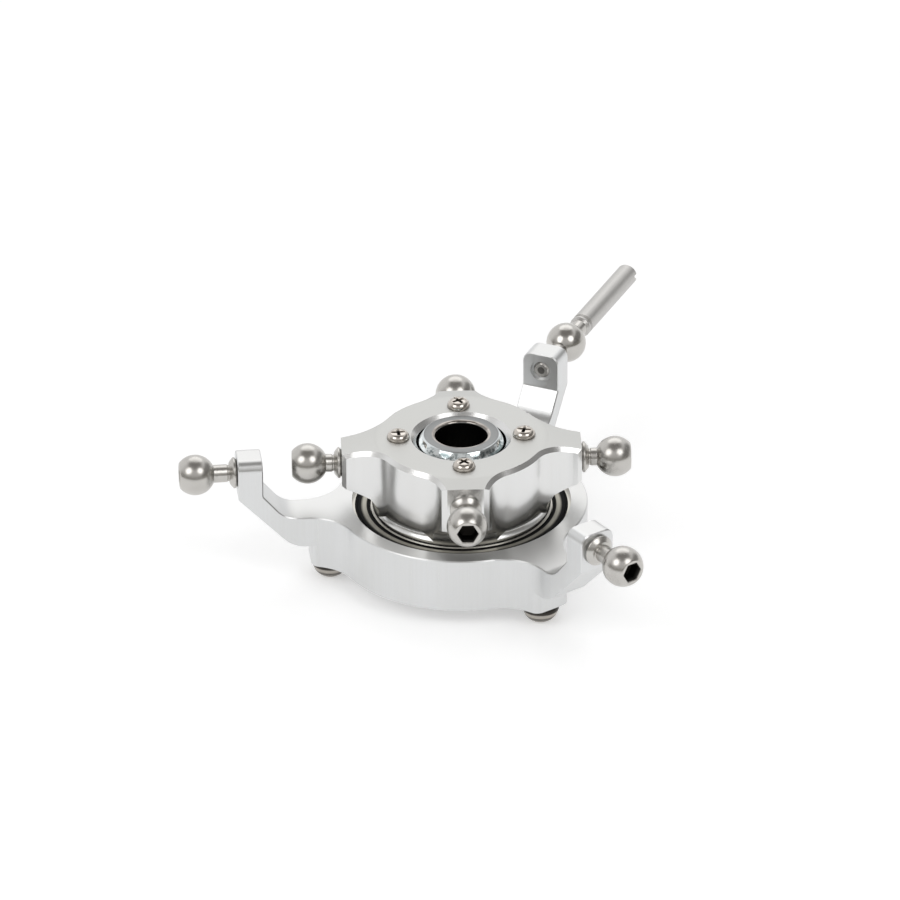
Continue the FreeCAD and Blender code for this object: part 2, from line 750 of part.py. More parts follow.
def make_outer_race():
    """Outer race with its ball groove and a seat for each seal."""
    body = new_body("bearing_outer_race")
    step = S.seal_depth
    edge = S.race_edge
    groove_half = chord(groove_r, outer_land_r - pitch_r)
    revolve(body, "race", [
        Corner(bearing_outer_r - edge, bearing_low_z),
        Corner(bearing_outer_r, bearing_low_z + edge),
        Corner(bearing_outer_r, bearing_top_z - edge),
        Corner(bearing_outer_r - edge, bearing_top_z),
        Corner(seal_outer_r, bearing_top_z),
        Corner(seal_outer_r, bearing_top_z - step),
        Corner(outer_land_r, bearing_top_z - step),
        Corner(outer_land_r, bearing_mid_z + groove_half),
        Corner(outer_land_r, bearing_mid_z - groove_half, centre=(pitch_r, bearing_mid_z), turn=-1),
        Corner(outer_land_r, bearing_low_z + step),
        Corner(seal_outer_r, bearing_low_z + step),
        Corner(seal_outer_r, bearing_low_z),
    ])


def ball_circle(body, name, radius):
    """Spheres of one radius on the circle of the bearing balls."""
    ball = body.newObject("PartDesign::AdditiveSphere", name)
    bind(ball, "Radius", radius)
    ball.AttachmentSupport = (datum(body, "XY_Plane"), [""])
    ball.MapMode = "FlatFace"
    bind(ball, "AttachmentOffset.Base.x", pitch_r)
    bind(ball, "AttachmentOffset.Base.z", bearing_mid_z)
    return repeat(body, name + "s", [ball], S.bearing_ball_count)


def make_bearing_balls():
    """Every ball of the bearing."""
    ball_circle(new_body("bearing_balls"), "ball", S.bearing_ball_r)


def make_bearing_cage():
    """Cage ring with a round pocket for each ball."""
    body = new_body("bearing_cage")
    half = S.cage_wall / 2
    revolve(body, "ring", rectangle(pitch_r - half, bearing_mid_z - S.cage_h / 2,
                                    pitch_r + half, bearing_mid_z + S.cage_h / 2))
    profile = sketch_on(body, "pocket_profile", "YZ_Plane", height=pitch_r)
    ring_outline(profile, (0, bearing_mid_z), S.bearing_ball_r + S.pocket_gap)
    pocket = extrude(body, "pocket", profile, S.cage_wall * 2, kind="PartDesign::Pocket", both=True)
    repeat(body, "pockets", [pocket], S.bearing_ball_count)


def make_seal(place, face_z, inwards):
    """Rubber seal of one face of the bearing, and the steel insert that shows in it."""
    outer_z = face_z + inwards * S.seal_sink
    inner_z = outer_z + inwards * S.seal_t
    plate_z = outer_z + inwards * S.plate_t
    seal = new_body(place + "_seal")
    revolve(seal, "seal", [
        Corner(inner_step_r + S.seal_lip_gap, inner_z),
        Corner(seal_outer_r, inner_z),
        Corner(seal_outer_r, outer_z),
        Corner(plate_outer_r, outer_z),
        Corner(plate_outer_r, plate_z),
        Corner(plate_inner_r, plate_z),
        Corner(plate_inner_r, outer_z),
        Corner(inner_step_r + S.seal_lip_gap, outer_z),
    ])
    plate = new_body(place + "_seal_plate")
    revolve(plate, "plate", rectangle(plate_inner_r, plate_z, plate_outer_r, outer_z))


# ---------------------------------------------------------------- the lower ring

def ring_blank(body):
    """Disc with three radial bars, blended where the bars leave the disc."""
    tall = S.arm_top_z - ring_low_z
    disc = sketch_on(body, "disc_profile", "XY_Plane", height=ring_low_z)
    ring_outline(disc, (0, 0), ring_outer_r)
    extrude(body, "disc", disc, tall)
    bar = sketch_on(body, "bar_profile", "XY_Plane", height=ring_low_z)
    outline(bar, rectangle(-S.arm_half, 0, S.arm_half, arm_outer_r))
    repeat(body, "bars", [extrude(body, "bar", bar, tall)], SERVO_ARMS)

    def in_corner(edge):
        return upright(edge) and near(reach(edge.Vertexes[0].Point), ring_outer_r)

    dress(body, "arm_blends", "Fillet", in_corner, S.arm_blend_r)


def ring_profile_cuts(body):
    """Cuts the side view of the arms: the slope up to the upright part, and the slope under it."""
    wide = 2 * ring_outer_r
    above = S.arm_top_z + S.cut_spare
    below = ring_low_z - S.cut_spare
    beyond = arm_outer_r + S.cut_spare
    upper = sketch_on(body, "upper_cut_profile", "YZ_Plane")
    outline(upper, [
        Corner(-S.arm_half, S.ring_top_z),
        Corner(arm_foot_r, S.ring_top_z),
        Corner(arm_inner_r, S.arm_bend_z),
        Corner(arm_inner_r, above),
        Corner(-S.arm_half, above),
    ])
    lower = sketch_on(body, "lower_cut_profile", "YZ_Plane")
    outline(lower, [
        Corner(lobe_r, below),
        Corner(beyond, below),
        Corner(beyond, S.arm_slant_z),
        Corner(arm_outer_r, S.arm_slant_z),
        Corner(arm_heel_r, S.arm_under_z),
        Corner(lobe_r, S.arm_under_z),
    ])
    cuts = [
        extrude(body, "upper_cut", upper, wide, kind="PartDesign::Pocket", both=True),
        extrude(body, "lower_cut", lower, wide, kind="PartDesign::Pocket", both=True),
    ]
    repeat(body, "profile_cuts", cuts, SERVO_ARMS)


def ring_bore(body):
    """Turns the pocket of the bearing and the opening of the lip above it."""
    above = S.arm_top_z + S.cut_spare
    below = ring_low_z - S.cut_spare
    revolve(body, "bearing_pocket", [
        Corner(0, below),
        Corner(bearing_outer_r, below),
        Corner(bearing_outer_r, bearing_top_z),
        Corner(ring_lip_r, bearing_top_z),
        Corner(ring_lip_r, above),
        Corner(0, above),
    ], kind="PartDesign::Groove")


def ring_blends(body):
    """Rounds the bends of the arms, the lobes and the top of the upright parts."""
    def straight_across(radius, height):
        def chosen(edge):
            ends = [vertex.Point for vertex in edge.Vertexes]
            if len(ends) != 2:
                return False
            middle = (ends[0] + ends[1]) / 2
            return near(reach(middle), radius) and near(ends[0].z, height) and near(ends[1].z, height)
        return chosen

    dress(body, "foot_blends", "Fillet", straight_across(arm_foot_r, S.ring_top_z), S.foot_blend_r)
    dress(body, "bend_blends", "Fillet", straight_across(arm_inner_r, S.arm_bend_z), S.bend_blend_r)
    dress(body, "heel_blends", "Fillet", straight_across(arm_heel_r, S.arm_under_z), S.heel_blend_r)

    def lobe_corner(edge):
        if not upright(edge):
            return False
        point = edge.Vertexes[0].Point
        low = min(vertex.Point.z for vertex in edge.Vertexes)
        return near(low, ring_low_z) and lobe_r.value - SAME_PLACE < reach(point) < arm_heel_r.value

    def top_corner(edge):
        ends = [vertex.Point for vertex in edge.Vertexes]
        if len(ends) != 2 or not near(ends[0].z, S.arm_top_z) or not near(ends[1].z, S.arm_top_z):
            return False
        return abs(reach(ends[0]) - reach(ends[1])) > S.arm_t.value / 2

    dress(body, "lobe_corners", "Fillet", lobe_corner, S.lobe_corner_r)
    dress(body, "top_corners", "Fillet", top_corner, S.arm_corner_r)


def ring_edges(body):
    """Breaks the sharp edges round the top of the ring and of its arms."""
    shape = shape_now(body)
    lip_r = ring_lip_r.value + S.ring_edge.value

    def chosen(edge):
        lows = [vertex.Point.z for vertex in edge.Vertexes]
        at_slant = len(lows) == 2 and near(lows[0], S.arm_slant_z) and near(lows[1], S.arm_slant_z)
        if at_slant or min(lows) < S.ring_top_z.value - SAME_PLACE or reach(middle_of(edge)) < lip_r:
            return False
        normals = normals_beside(shape, edge)
        return len(normals) == 2 and normals[0].getAngle(normals[1]) > SHARP_BEND

    dress(body, "edges", "Chamfer", chosen, S.ring_edge)


def ring_holes(body):
    """Holes for the three studs and for the three underside screws."""
    through = sketch_on(body, "stud_hole_profile", "XZ_Plane", height=-arm_outer_r)
    ring_outline(through, (0, 0), S.stud_r)
    stud_hole = extrude(body, "stud_hole", through, S.arm_t * 2, kind="PartDesign::Pocket", backwards=True)
    wide = sketch_on(body, "sink_profile", "XZ_Plane", height=-arm_inner_r)
    ring_outline(wide, (0, 0), S.sink_r)
    sink = extrude(body, "sink", wide, S.arm_t - S.stud_h + S.hole_spare, kind="PartDesign::Pocket")
    tapped = sketch_on(body, "tapped_hole_profile", "XY_Plane", height=ring_low_z)
    ring_outline(tapped, (0, retainer_circle_r), S.button_thread_r)
    depth = S.button_thread_h + S.hole_spare
    tapped_hole = extrude(body, "tapped_hole", tapped, depth, kind="PartDesign::Pocket", backwards=True)
    repeat(body, "holes", [stud_hole, sink, tapped_hole], SERVO_ARMS)


def make_lower_ring():
    """Non-rotating half with its three servo arms."""
    body = new_body("lower_ring")
    ring_blank(body)
    ring_profile_cuts(body)
    ring_bore(body)
    ring_blends(body)
    ring_edges(body)
    ring_holes(body)


def make_bearing_retainer():
    """Ring under the outer race, flush with the underside of the lower ring."""
    body = new_body("bearing_retainer")
    revolve(body, "retainer", rectangle(retainer_inner_r, ring_low_z, bearing_outer_r, bearing_low_z))


def make_retainer_screws():
    """Three button head screws that hold the retainer up. The object stands on their heads."""
    body = new_body("retainer_screws", TURN / 4)
    head_z = ring_low_z - S.button_h
    rim_z = ring_low_z - S.button_rim
    top_z = ring_low_z + S.button_thread_h
    dome_r = (S.button_r + S.button_top_r + S.button_shoulder) / 2
    dome_z = (head_z + rim_z - S.button_shoulder) / 2
    screw = revolve(body, "screw", [
        Corner(0, head_z),
        Corner(S.button_top_r, head_z),
        Corner(dome_r, dome_z),
        Corner(S.button_r, rim_z),
        Corner(S.button_r, ring_low_z),
        Corner(S.button_thread_r, ring_low_z),
        Corner(S.button_thread_r, top_z - S.stud_edge),
        Corner(S.button_thread_r - S.stud_edge, top_z),
        Corner(0, top_z),
    ], shift=retainer_circle_r)
    socket = sketch_on(body, "socket_profile", "XY_Plane", height=head_z)
    outline(socket, polygon(S.button_socket_r, HEX_COUNT, (retainer_circle_r, 0)))
    recess = extrude(body, "recess", socket, S.button_socket_h, kind="PartDesign::Pocket", backwards=True)
    repeat(body, "screws", [screw, recess], SERVO_ARMS)


# ---------------------------------------------------------------- the link balls and the guide pin

def stud_corners(face, ball_x):
    """Thread, collar and neck of a link ball, from the axis out to where the sphere starts."""
    neck = S.link_neck_r
    return [
        Corner(face - S.stud_h, 0),
        Corner(face - S.stud_h, S.stud_r - S.stud_edge),
        Corner(face - S.stud_h + S.stud_edge, S.stud_r),
        Corner(face, S.stud_r),
        Corner(face, S.collar_seat_r),
        Corner(face + S.collar_land, S.collar_r),
        Corner(face + S.collar_land * 2, S.collar_r),
        Corner(face + S.collar_land * 2 + S.collar_cone, (S.collar_seat_r + neck) / 2),
        Corner(face + S.collar_land * 2 + S.collar_cone, neck),
        Corner(ball_x - chord(S.link_ball_r, neck), neck),
    ]


def make_link_ball(label, face, standoff, clock):
    """Ball stud that screws into an arm face, with a hex socket in the flat of the ball."""
    body = new_body(label, clock)
    ball_x = face + standoff
    flat_x = ball_x + S.link_flat
    flat_r = chord(S.link_ball_r, S.link_flat)
    corners = stud_corners(face, ball_x)
    corners.append(Corner(flat_x, flat_r, centre=(ball_x, 0), turn=-1, free="up"))
    corners.append(Corner(flat_x, 0))
    revolve(body, "stud", corners, about="H_Axis")
    socket = sketch_on(body, "socket_profile", "YZ_Plane", height=flat_x)
    outline(socket, polygon(S.link_socket_r, HEX_COUNT))
    extrude(body, "socket", socket, S.link_socket_h, kind="PartDesign::Pocket")


def make_guide_pin():
    """Link ball that carries the long plain pin, which keeps the lower ring from turning."""
    body = new_body("guide_pin", TURN / 4)
    face = arm_outer_r
    ball_x = face + S.servo_standoff
    start = ball_x + S.pin_start
    tip = ball_x + S.pin_end
    groove = start + S.groove_start
    neck = S.link_neck_r
    corners = stud_corners(face, ball_x)
    corners += [
        Corner(ball_x + chord(S.link_ball_r, neck), neck, centre=(ball_x, 0), turn=-1),
        Corner(start, neck),
        Corner(start + S.pin_edge, S.pin_r),
        Corner(groove, S.pin_r),
        Corner(groove + S.groove_h / 2, S.pin_r - S.groove_h),
        Corner(groove + S.groove_h / 2 + S.groove_w, S.pin_r - S.groove_h),
        Corner(groove + S.groove_h + S.groove_w, S.pin_r),
        Corner(tip - S.pin_edge, S.pin_r),
        Corner(tip, S.pin_r - S.pin_edge),
        Corner(tip, 0),
    ]
    revolve(body, "pin", corners, about="H_Axis")
    slot = sketch_on(body, "slot_profile", "YZ_Plane", height=tip)
    outline(slot, rectangle(-S.pin_r, -S.slot_w / 2, S.pin_r, S.slot_w / 2))
    extrude(body, "slot", slot, S.slot_h, kind="PartDesign::Pocket")


def make_studs():
    """The six link balls, named as they lie when the guide pin is at the back."""
    turn = TURN / SERVO_ARMS
    make_link_ball("left_servo_ball", arm_outer_r, S.servo_standoff, TURN / 4 + turn)
    make_link_ball("right_servo_ball", arm_outer_r, S.servo_standoff, TURN / 4 - turn)
    for label, reach_to, quarter in (
        ("right_blade_ball", long_reach, 0),
        ("rear_driver_ball", short_reach, 1),
        ("left_blade_ball", long_reach, 2),
        ("front_driver_ball", short_reach, 3),
    ):
        make_link_ball(label, reach_to, S.star_standoff, S.star_clock + quarter * TURN / STAR_ARMS)


def check_and_export():
    """Stops on any failed object, then writes one STEP file for each piece."""
    doc.recompute()
    failed = [item.Label for item in doc.Objects if "Invalid" in item.State or "Error" in item.State]
    if failed:
        raise RuntimeError("failed objects: " + ", ".join(failed))
    os.makedirs("parts", exist_ok=True)
    bodies = doc.findObjects("PartDesign::Body")
    for body in bodies:
        if body.Shape.isNull() or not body.Shape.isValid():
            raise RuntimeError("bad shape: " + body.Label)
    for body in bodies:
        body.Shape.exportStep("parts/%s.step" % body.Label)
        box = body.Shape.BoundBox
        print("%-20s %2d solids %9.2f mm3  z %7.2f to %6.2f" % (
            body.Label, len(body.Shape.Solids), body.Shape.Volume, box.ZMin, box.ZMax))


make_lower_ring()
make_outer_race()
make_inner_race()
make_bearing_balls()
make_bearing_cage()
make_seal("upper", bearing_top_z, -1)
make_seal("lower", bearing_low_z, 1)
make_bearing_retainer()
make_retainer_screws()
make_guide_pin()
make_studs()
make_upper_star()
make_seat_holder()
make_seat_screws()
make_ball_liner()
make_shaft_ball()
check_and_export()
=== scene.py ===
"""Looks of a helicopter swashplate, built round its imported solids.

The lower ring, the upper star, the bearing between them, the shaft ball, the link balls and the
screws each have a class. A finish is a frozen dataclass that makes one material. Lengths are metres.
"""

import logging
import math
from dataclasses import dataclass
from enum import Enum
from typing import Any

import bmesh
import bpy
from mathutils import Matrix, Quaternion, Vector


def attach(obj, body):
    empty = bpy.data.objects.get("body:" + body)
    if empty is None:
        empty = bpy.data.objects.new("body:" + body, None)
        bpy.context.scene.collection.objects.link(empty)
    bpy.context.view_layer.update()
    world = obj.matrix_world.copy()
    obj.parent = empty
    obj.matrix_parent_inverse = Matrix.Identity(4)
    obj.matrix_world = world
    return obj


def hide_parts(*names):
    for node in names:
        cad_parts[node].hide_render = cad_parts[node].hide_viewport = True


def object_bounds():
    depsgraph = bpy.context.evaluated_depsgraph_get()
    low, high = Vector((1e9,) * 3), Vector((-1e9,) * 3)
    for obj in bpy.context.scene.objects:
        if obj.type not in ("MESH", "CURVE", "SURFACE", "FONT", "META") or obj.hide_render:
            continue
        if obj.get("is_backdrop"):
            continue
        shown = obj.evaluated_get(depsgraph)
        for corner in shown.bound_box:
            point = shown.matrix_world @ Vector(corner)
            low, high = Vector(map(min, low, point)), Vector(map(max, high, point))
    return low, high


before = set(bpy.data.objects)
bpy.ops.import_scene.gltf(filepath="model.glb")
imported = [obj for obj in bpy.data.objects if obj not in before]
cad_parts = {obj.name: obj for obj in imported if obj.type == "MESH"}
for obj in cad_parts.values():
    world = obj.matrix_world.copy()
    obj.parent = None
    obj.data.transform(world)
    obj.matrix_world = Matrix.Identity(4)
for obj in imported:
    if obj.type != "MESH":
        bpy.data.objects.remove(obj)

LOG = logging.getLogger("swashplate")
MM = 0.001
NEAR = 0.004 * MM
MERGE = 0.0005 * MM
HEX_COUNT = 6
SCREW_STEPS = 48
STUD_STEPS = 72
RING_STEPS = 144
STAR_CLOCK = 26.1
PLATE_IN_R = 11.06 * MM
PLATE_OUT_R = 11.75 * MM
# Name of the vertex layer that carries painted shade, 0 to 1.
PAINTED_SHADE = "depth"

Colour = tuple[float, float, float]
WHITE: Colour = (1.0, 1.0, 1.0)
WARM: Colour = (1.01, 1.0, 0.955)
COOL: Colour = (0.985, 0.995, 1.015)


# ------------------------------------------------------------------ shader maths

class Sock:
    """A shader socket or a number that can stand in Python expressions."""

    def __init__(self, tree: "Tree", socket: Any) -> None:
        """Wraps a socket.

        Args:
            tree: The tree that new nodes are added to.
            socket: The output socket.
        """
        self.tree = tree
        self.socket = socket

    def maths(self, operation: str, *others: Any, swap: bool = False) -> "Sock":
        """Adds one Math node.

        Args:
            operation: Name of the Math node's operation.
            others: The other operands, sockets or numbers.
            swap: Whether this socket is the second operand.

        Returns:
            The node's result.
        """
        operands = [self, *others]
        if swap:
            operands.reverse()
        return self.tree.add("ShaderNodeMath", {"operation": operation}, dict(enumerate(operands)))

    def __add__(self, other: Any) -> "Sock":
        """Sum."""
        return self.maths("ADD", other)

    __radd__ = __add__

    def __mul__(self, other: Any) -> "Sock":
        """Product."""
        return self.maths("MULTIPLY", other)

    __rmul__ = __mul__

    def __sub__(self, other: Any) -> "Sock":
        """Difference."""
        return self.maths("SUBTRACT", other)

    def __rsub__(self, other: Any) -> "Sock":
        """Difference, with this socket taken away."""
        return self.maths("SUBTRACT", other, swap=True)

    def __pow__(self, other: Any) -> "Sock":
        """Power."""
        return self.maths("POWER", other)

    def __abs__(self) -> "Sock":
        """Size without its sign."""
        return self.maths("ABSOLUTE")

    def least(self, other: Any) -> "Sock":
        """The smaller of two values."""
        return self.maths("MINIMUM", other)

    def most(self, other: Any) -> "Sock":
        """The larger of two values."""
        return self.maths("MAXIMUM", other)

    def step(self, low: float, high: float) -> "Sock":
        """Smooth step.

        Args:
            low: Value that gives 0.
            high: Value that gives 1.

        Returns:
            0 to 1 between the two.
        """
        settings = {"interpolation_type": "SMOOTHSTEP", "clamp": True}
        return self.tree.add("ShaderNodeMapRange", settings, {"Value": self, "From Min": low, "From Max": high})

    def fit(self, low: float, high: float) -> "Sock":
        """Stretches 0 to 1 onto a range.

        Args:
            low: Result for 0.
            high: Result for 1.

        Returns:
            The value on its new range.
        """
        return self * (high - low) + low


class Tree:
    """The node tree of one material or world."""

    def __init__(self, owner: Any) -> None:
        """Empties the owner's tree.

        Args:
            owner: The material or world.
        """
        owner.use_nodes = True
        self.tree = owner.node_tree
        self.tree.nodes.clear()

    def add(self, kind: str, settings: dict[str, Any] | None = None, values: dict[Any, Any] | None = None,
            out: Any = 0) -> Sock:
        """Adds a node.

        Args:
            kind: The node's type.
            settings: Properties that are set before its sockets.
            values: Numbers, tuples or sockets for its inputs, by name or index.
            out: Name or index of the output that is wanted.

        Returns:
            That output.
        """
        node = self.tree.nodes.new(kind)
        for name, value in (settings or {}).items():
            setattr(node, name, value)
        for name, value in (values or {}).items():
            socket = node.inputs[name]
            if isinstance(value, Sock):
                self.tree.links.new(value.socket, socket)
            else:
                socket.default_value = value
        return Sock(self, node.outputs[out] if node.outputs else None)

    def parts(self, vector: Sock) -> tuple[Sock, Sock, Sock]:
        """Splits a vector.

        Args:
            vector: The vector.

        Returns:
            Its X, Y and Z.
        """
        node = self.add("ShaderNodeSeparateXYZ", None, {0: vector}).socket.node
        return tuple(Sock(self, output) for output in node.outputs)

    def place(self) -> Sock:
        """Position in the object's own frame."""
        return self.add("ShaderNodeTexCoord", out="Object")

    def facing(self) -> tuple[Sock, Sock, Sock]:
        """X, Y and Z of the surface's direction in the object's own frame."""
        return self.parts(self.add("ShaderNodeTexCoord", out="Normal"))

    def radius(self) -> Sock:
        """Distance from the object's own Z axis."""
        across, along, _ = self.parts(self.place())
        return diagonal(across, along)

    def rings(self, rise: float) -> Sock:
        """Coordinates for a pattern of rings about the object's Z axis.

        Args:
            rise: How fast the pattern changes with height, against its change with the radius.

        Returns:
            The coordinates.
        """
        across, along, height = self.parts(self.place())
        return self.add("ShaderNodeCombineXYZ", None, {0: diagonal(across, along), 1: height * rise, 2: 0})

    def stretched(self, scale: tuple[float, float, float]) -> Sock:
        """Scales the object's coordinates.

        Args:
            scale: Factor along X, Y and Z.

        Returns:
            The scaled coordinates.
        """
        return self.add("ShaderNodeMapping", None, {"Vector": self.place(), "Scale": scale})

    def noise(self, scale: float, detail: float = 2.0, vector: Sock | None = None, rough: float = 0.5) -> Sock:
        """Adds noise.

        Args:
            scale: Cells per metre.
            detail: Number of finer layers.
            vector: Coordinates, the object's own if none.
            rough: Share of the finer layers.

        Returns:
            Its value, about 0.5.
        """
        values = {"Vector": vector or self.place(), "Scale": scale, "Detail": detail, "Roughness": rough}
        return self.add("ShaderNodeTexNoise", None, values)

    def blend(self, share: Any, first: Any, second: Any) -> Sock:
        """Mixes two colours.

        Args:
            share: How much of the second.
            first: The first colour.
            second: The second colour.

        Returns:
            The mixed colour.
        """
        values = {0: share, 6: self.colour(first), 7: self.colour(second)}
        return self.add("ShaderNodeMix", {"data_type": "RGBA"}, values, out=2)

    @staticmethod
    def colour(value: Any) -> Any:
        """Gives a plain colour its fourth number."""
        return value if isinstance(value, Sock) else (*value, 1)

    def bump(self, height: Sock, depth: float, strength: float = 1.0, under: Sock | None = None) -> Sock:
        """Adds a bump.

        Args:
            height: Height pattern, 0 to 1.
            depth: Distance in metres that a height of 1 stands for.
            strength: Strength of the effect.
            under: A bump that this one lies on.

        Returns:
            The bent normal.
        """
        values: dict[Any, Any] = {"Height": height, "Distance": depth, "Strength": strength}
        if under is not None:
            values["Normal"] = under
        return self.add("ShaderNodeBump", None, values)

    def shader(self, colour: Any, roughness: Any, metallic: float = 0.0, normal: Sock | None = None,
               **fixed: Any) -> None:
        """Closes the tree with the surface shader.

        Args:
            colour: Base colour.
            roughness: Roughness.
            metallic: 1 for bare metal.
            normal: Bent normal.
            fixed: Further sockets, by name with underscores.
        """
        values: dict[Any, Any] = {
            "Base Color": self.colour(colour), "Roughness": roughness, "Metallic": metallic}
        if normal is not None:
            values["Normal"] = normal
        values.update({name.replace("_", " "): value for name, value in fixed.items()})
        surface = self.add("ShaderNodeBsdfPrincipled", None, values)
        self.add("ShaderNodeOutputMaterial", None, {"Surface": surface})


def diagonal(first: Sock, second: Sock) -> Sock:
    """Length of the diagonal over two sides at right angles."""
    return (first * first + second * second) ** 0.5


# ------------------------------------------------------------------ finishes

class Cut(Enum):
    """How a tool passed over a machined part."""

    MILLED = "milled"
    TURNED = "turned"


@dataclass(frozen=True)
class Finish:
    """One material: its name and its main colour."""

    name: str
    colour: Colour

    def material(self) -> bpy.types.Material:
        """Builds the material.

        Returns:
            The new material.
        """
        made = bpy.data.materials.new(self.name)
        self.paint(Tree(made))
        return made

    def paint(self, tree: Tree) -> None:
        """Draws the finish.

        Args:
            tree: The material's empty tree.
        """
        raise NotImplementedError


@dataclass(frozen=True)
class Machined(Finish):
    """Bare machined metal: matt on its level faces, which also get a darker colour as painted shade, and
    brighter with fine tool marks on its walls.
    """

    roughness: float = 0.3
    painted_level_colour: Colour | None = None
    level_roughness: float = 0.5
    cut: Cut = Cut.MILLED
    mark_shade: float = 0.26
    mark_depth: float = 0.004 * MM
    grain_depth: float = 0.003 * MM

    def tool_marks(self, tree: Tree) -> tuple[Sock, Sock]:
        """Draws the marks of the tool, upright if milled and round the axis if turned.

        Args:
            tree: The material's tree.

        Returns:
            The fine marks and the wide ones.
        """
        if self.cut is Cut.MILLED:
            return (tree.noise(3400, 3, tree.stretched((1, 1, 0.015)), 0.6),
                    tree.noise(260, 1, tree.stretched((1, 1, 0.05))))
        rings = tree.rings(0.5)
        return tree.noise(5200, 3, rings, 0.6), tree.noise(700, 1, rings)

    def paint(self, tree: Tree) -> None:
        """Draws grain all over, the tool's marks on the walls and matt level faces, darker in colour as painted
        shade.

        Args:
            tree: The material's empty tree.
        """
        up = abs(tree.facing()[2])
        level = up.step(0.93, 0.985)
        wall = 1 - up.step(0.05, 0.35)
        slope = up.step(0.4, 0.62) * (1 - level)
        streaks, wide = self.tool_marks(tree)
        grain = tree.noise(11000, 3, rough=0.65)
        cloud = tree.noise(110, 2)
        marks = streaks.fit(-0.5, 0.5) * wall + wide.fit(-0.4, 0.4) * wall
        shade = marks * self.mark_shade + grain.fit(-0.06, 0.06) + cloud.fit(-0.07, 0.07) + 0.5
        # Level faces take their own darker colour: painted shade on faces that look up.
        flat = self.painted_level_colour or self.colour
        dark = tree.blend(level, scaled(self.colour, 0.8, WARM), scaled(flat, 0.9, WARM))
        light = tree.blend(level, scaled(self.colour, 1.1, COOL), scaled(flat, 1.07, COOL))
        colour = tree.blend(shade.least(1).most(0), dark, light)
        rough = level * (self.level_roughness - self.roughness) + self.roughness
        rough = rough + streaks.fit(-0.05, 0.05) * wall + grain.fit(-0.04, 0.04) + slope * 0.03
        normal = tree.bump(grain, self.grain_depth, 0.6)
        normal = tree.bump(streaks * wall, self.mark_depth, 0.5, normal)
        tree.shader(colour, rough, 1.0, normal)


@dataclass(frozen=True)
class Plated(Finish):
    """Polished or plated metal with faint wear, and painted shade where the mesh marks it: in sockets and
    recesses, and bands of painted shade and reflection on the button heads.
    """

    roughness: float = 0.12
    wear: float = 0.05
    grain_depth: float = 0.002 * MM
    # Colour of the painted shade in sockets and recesses.
    recess: Colour = (0.02, 0.018, 0.016)

    def paint(self, tree: Tree) -> None:
        """Draws stains, fine wear and the painted shade of the recesses.

        Args:
            tree: The material's empty tree.
        """
        fine = tree.noise(6000, 4, rough=0.6)
        stain = tree.noise(420, 3).step(0.48, 0.78)
        depth = tree.add("ShaderNodeAttribute", {"attribute_name": PAINTED_SHADE}, out="Fac")
        # How much painted shade the vertex layer asks for.
        shade_share = depth.step(0.15, 0.75)
        skin = tree.blend(stain * 0.6 + fine * 0.2, self.colour, scaled(self.colour, 0.85))
        rough = fine.fit(-self.wear, self.wear) + stain * self.wear + self.roughness
        rough = rough.most(0.03) + shade_share * 0.3
        normal = tree.bump(fine, self.grain_depth, 0.6)
        tree.shader(tree.blend(shade_share, skin, self.recess), rough, 1.0, normal)


@dataclass(frozen=True)
class PinSteel(Finish):
    """Steel of the guide pin: polished on its ball, drawn and frosted along the pin."""

    pin_colour: Colour
    pin_from: float
    slot_after: float = 15.0 * MM
    blur: float = 0.1 * MM
    dimple_r: float = 0.5 * MM
    dimple_blur: float = 0.08 * MM
    dimple_from: float = 24 * MM
    dimple_to: float = 25 * MM
    dimple_shade_colour: Colour = (0.06, 0.055, 0.05)

    def paint(self, tree: Tree) -> None:
        """Draws the ball, the drawn pin with its slotted tip, and a dark spot at the stud's far end, painted as
        the shade of a dimple.

        Args:
            tree: The material's empty tree.
        """
        across, along, height = tree.parts(tree.place())
        slot_from = self.pin_from + self.slot_after
        pin = along.step(self.pin_from - self.blur, self.pin_from + self.blur)
        slot = along.step(slot_from - self.blur, slot_from + self.blur)
        fine = tree.noise(6000, 4, rough=0.6)
        drawn = tree.noise(4200, 3, tree.stretched((1, 0.05, 1)), 0.6)
        turned = tree.noise(3000, 2, tree.stretched((0.03, 1, 0.03)))
        ball = tree.blend(fine * 0.3, self.colour, scaled(self.colour, 0.85))
        streaks = drawn * 0.7 + turned * 0.3
        shaft = tree.blend(streaks, scaled(self.pin_colour, 0.86), scaled(self.pin_colour, 1.14))
        # A dark spot painted as the shade of a dimple in the stud's end.
        mouth = 1 - diagonal(across, height).step(self.dimple_r - self.dimple_blur, self.dimple_r)
        dimple = mouth * (1 - along.step(self.dimple_from, self.dimple_to))
        colour = tree.blend(dimple * 0.75, tree.blend(pin, ball, shaft), self.dimple_shade_colour)
        rough = pin.fit(0.2, 0.42) + fine.fit(-0.05, 0.05) + slot * 0.08
        normal = tree.bump(drawn * pin, 0.006 * MM, 0.6, tree.bump(fine, 0.002 * MM, 0.6))
        tree.shader(colour, rough, 1.0, normal)


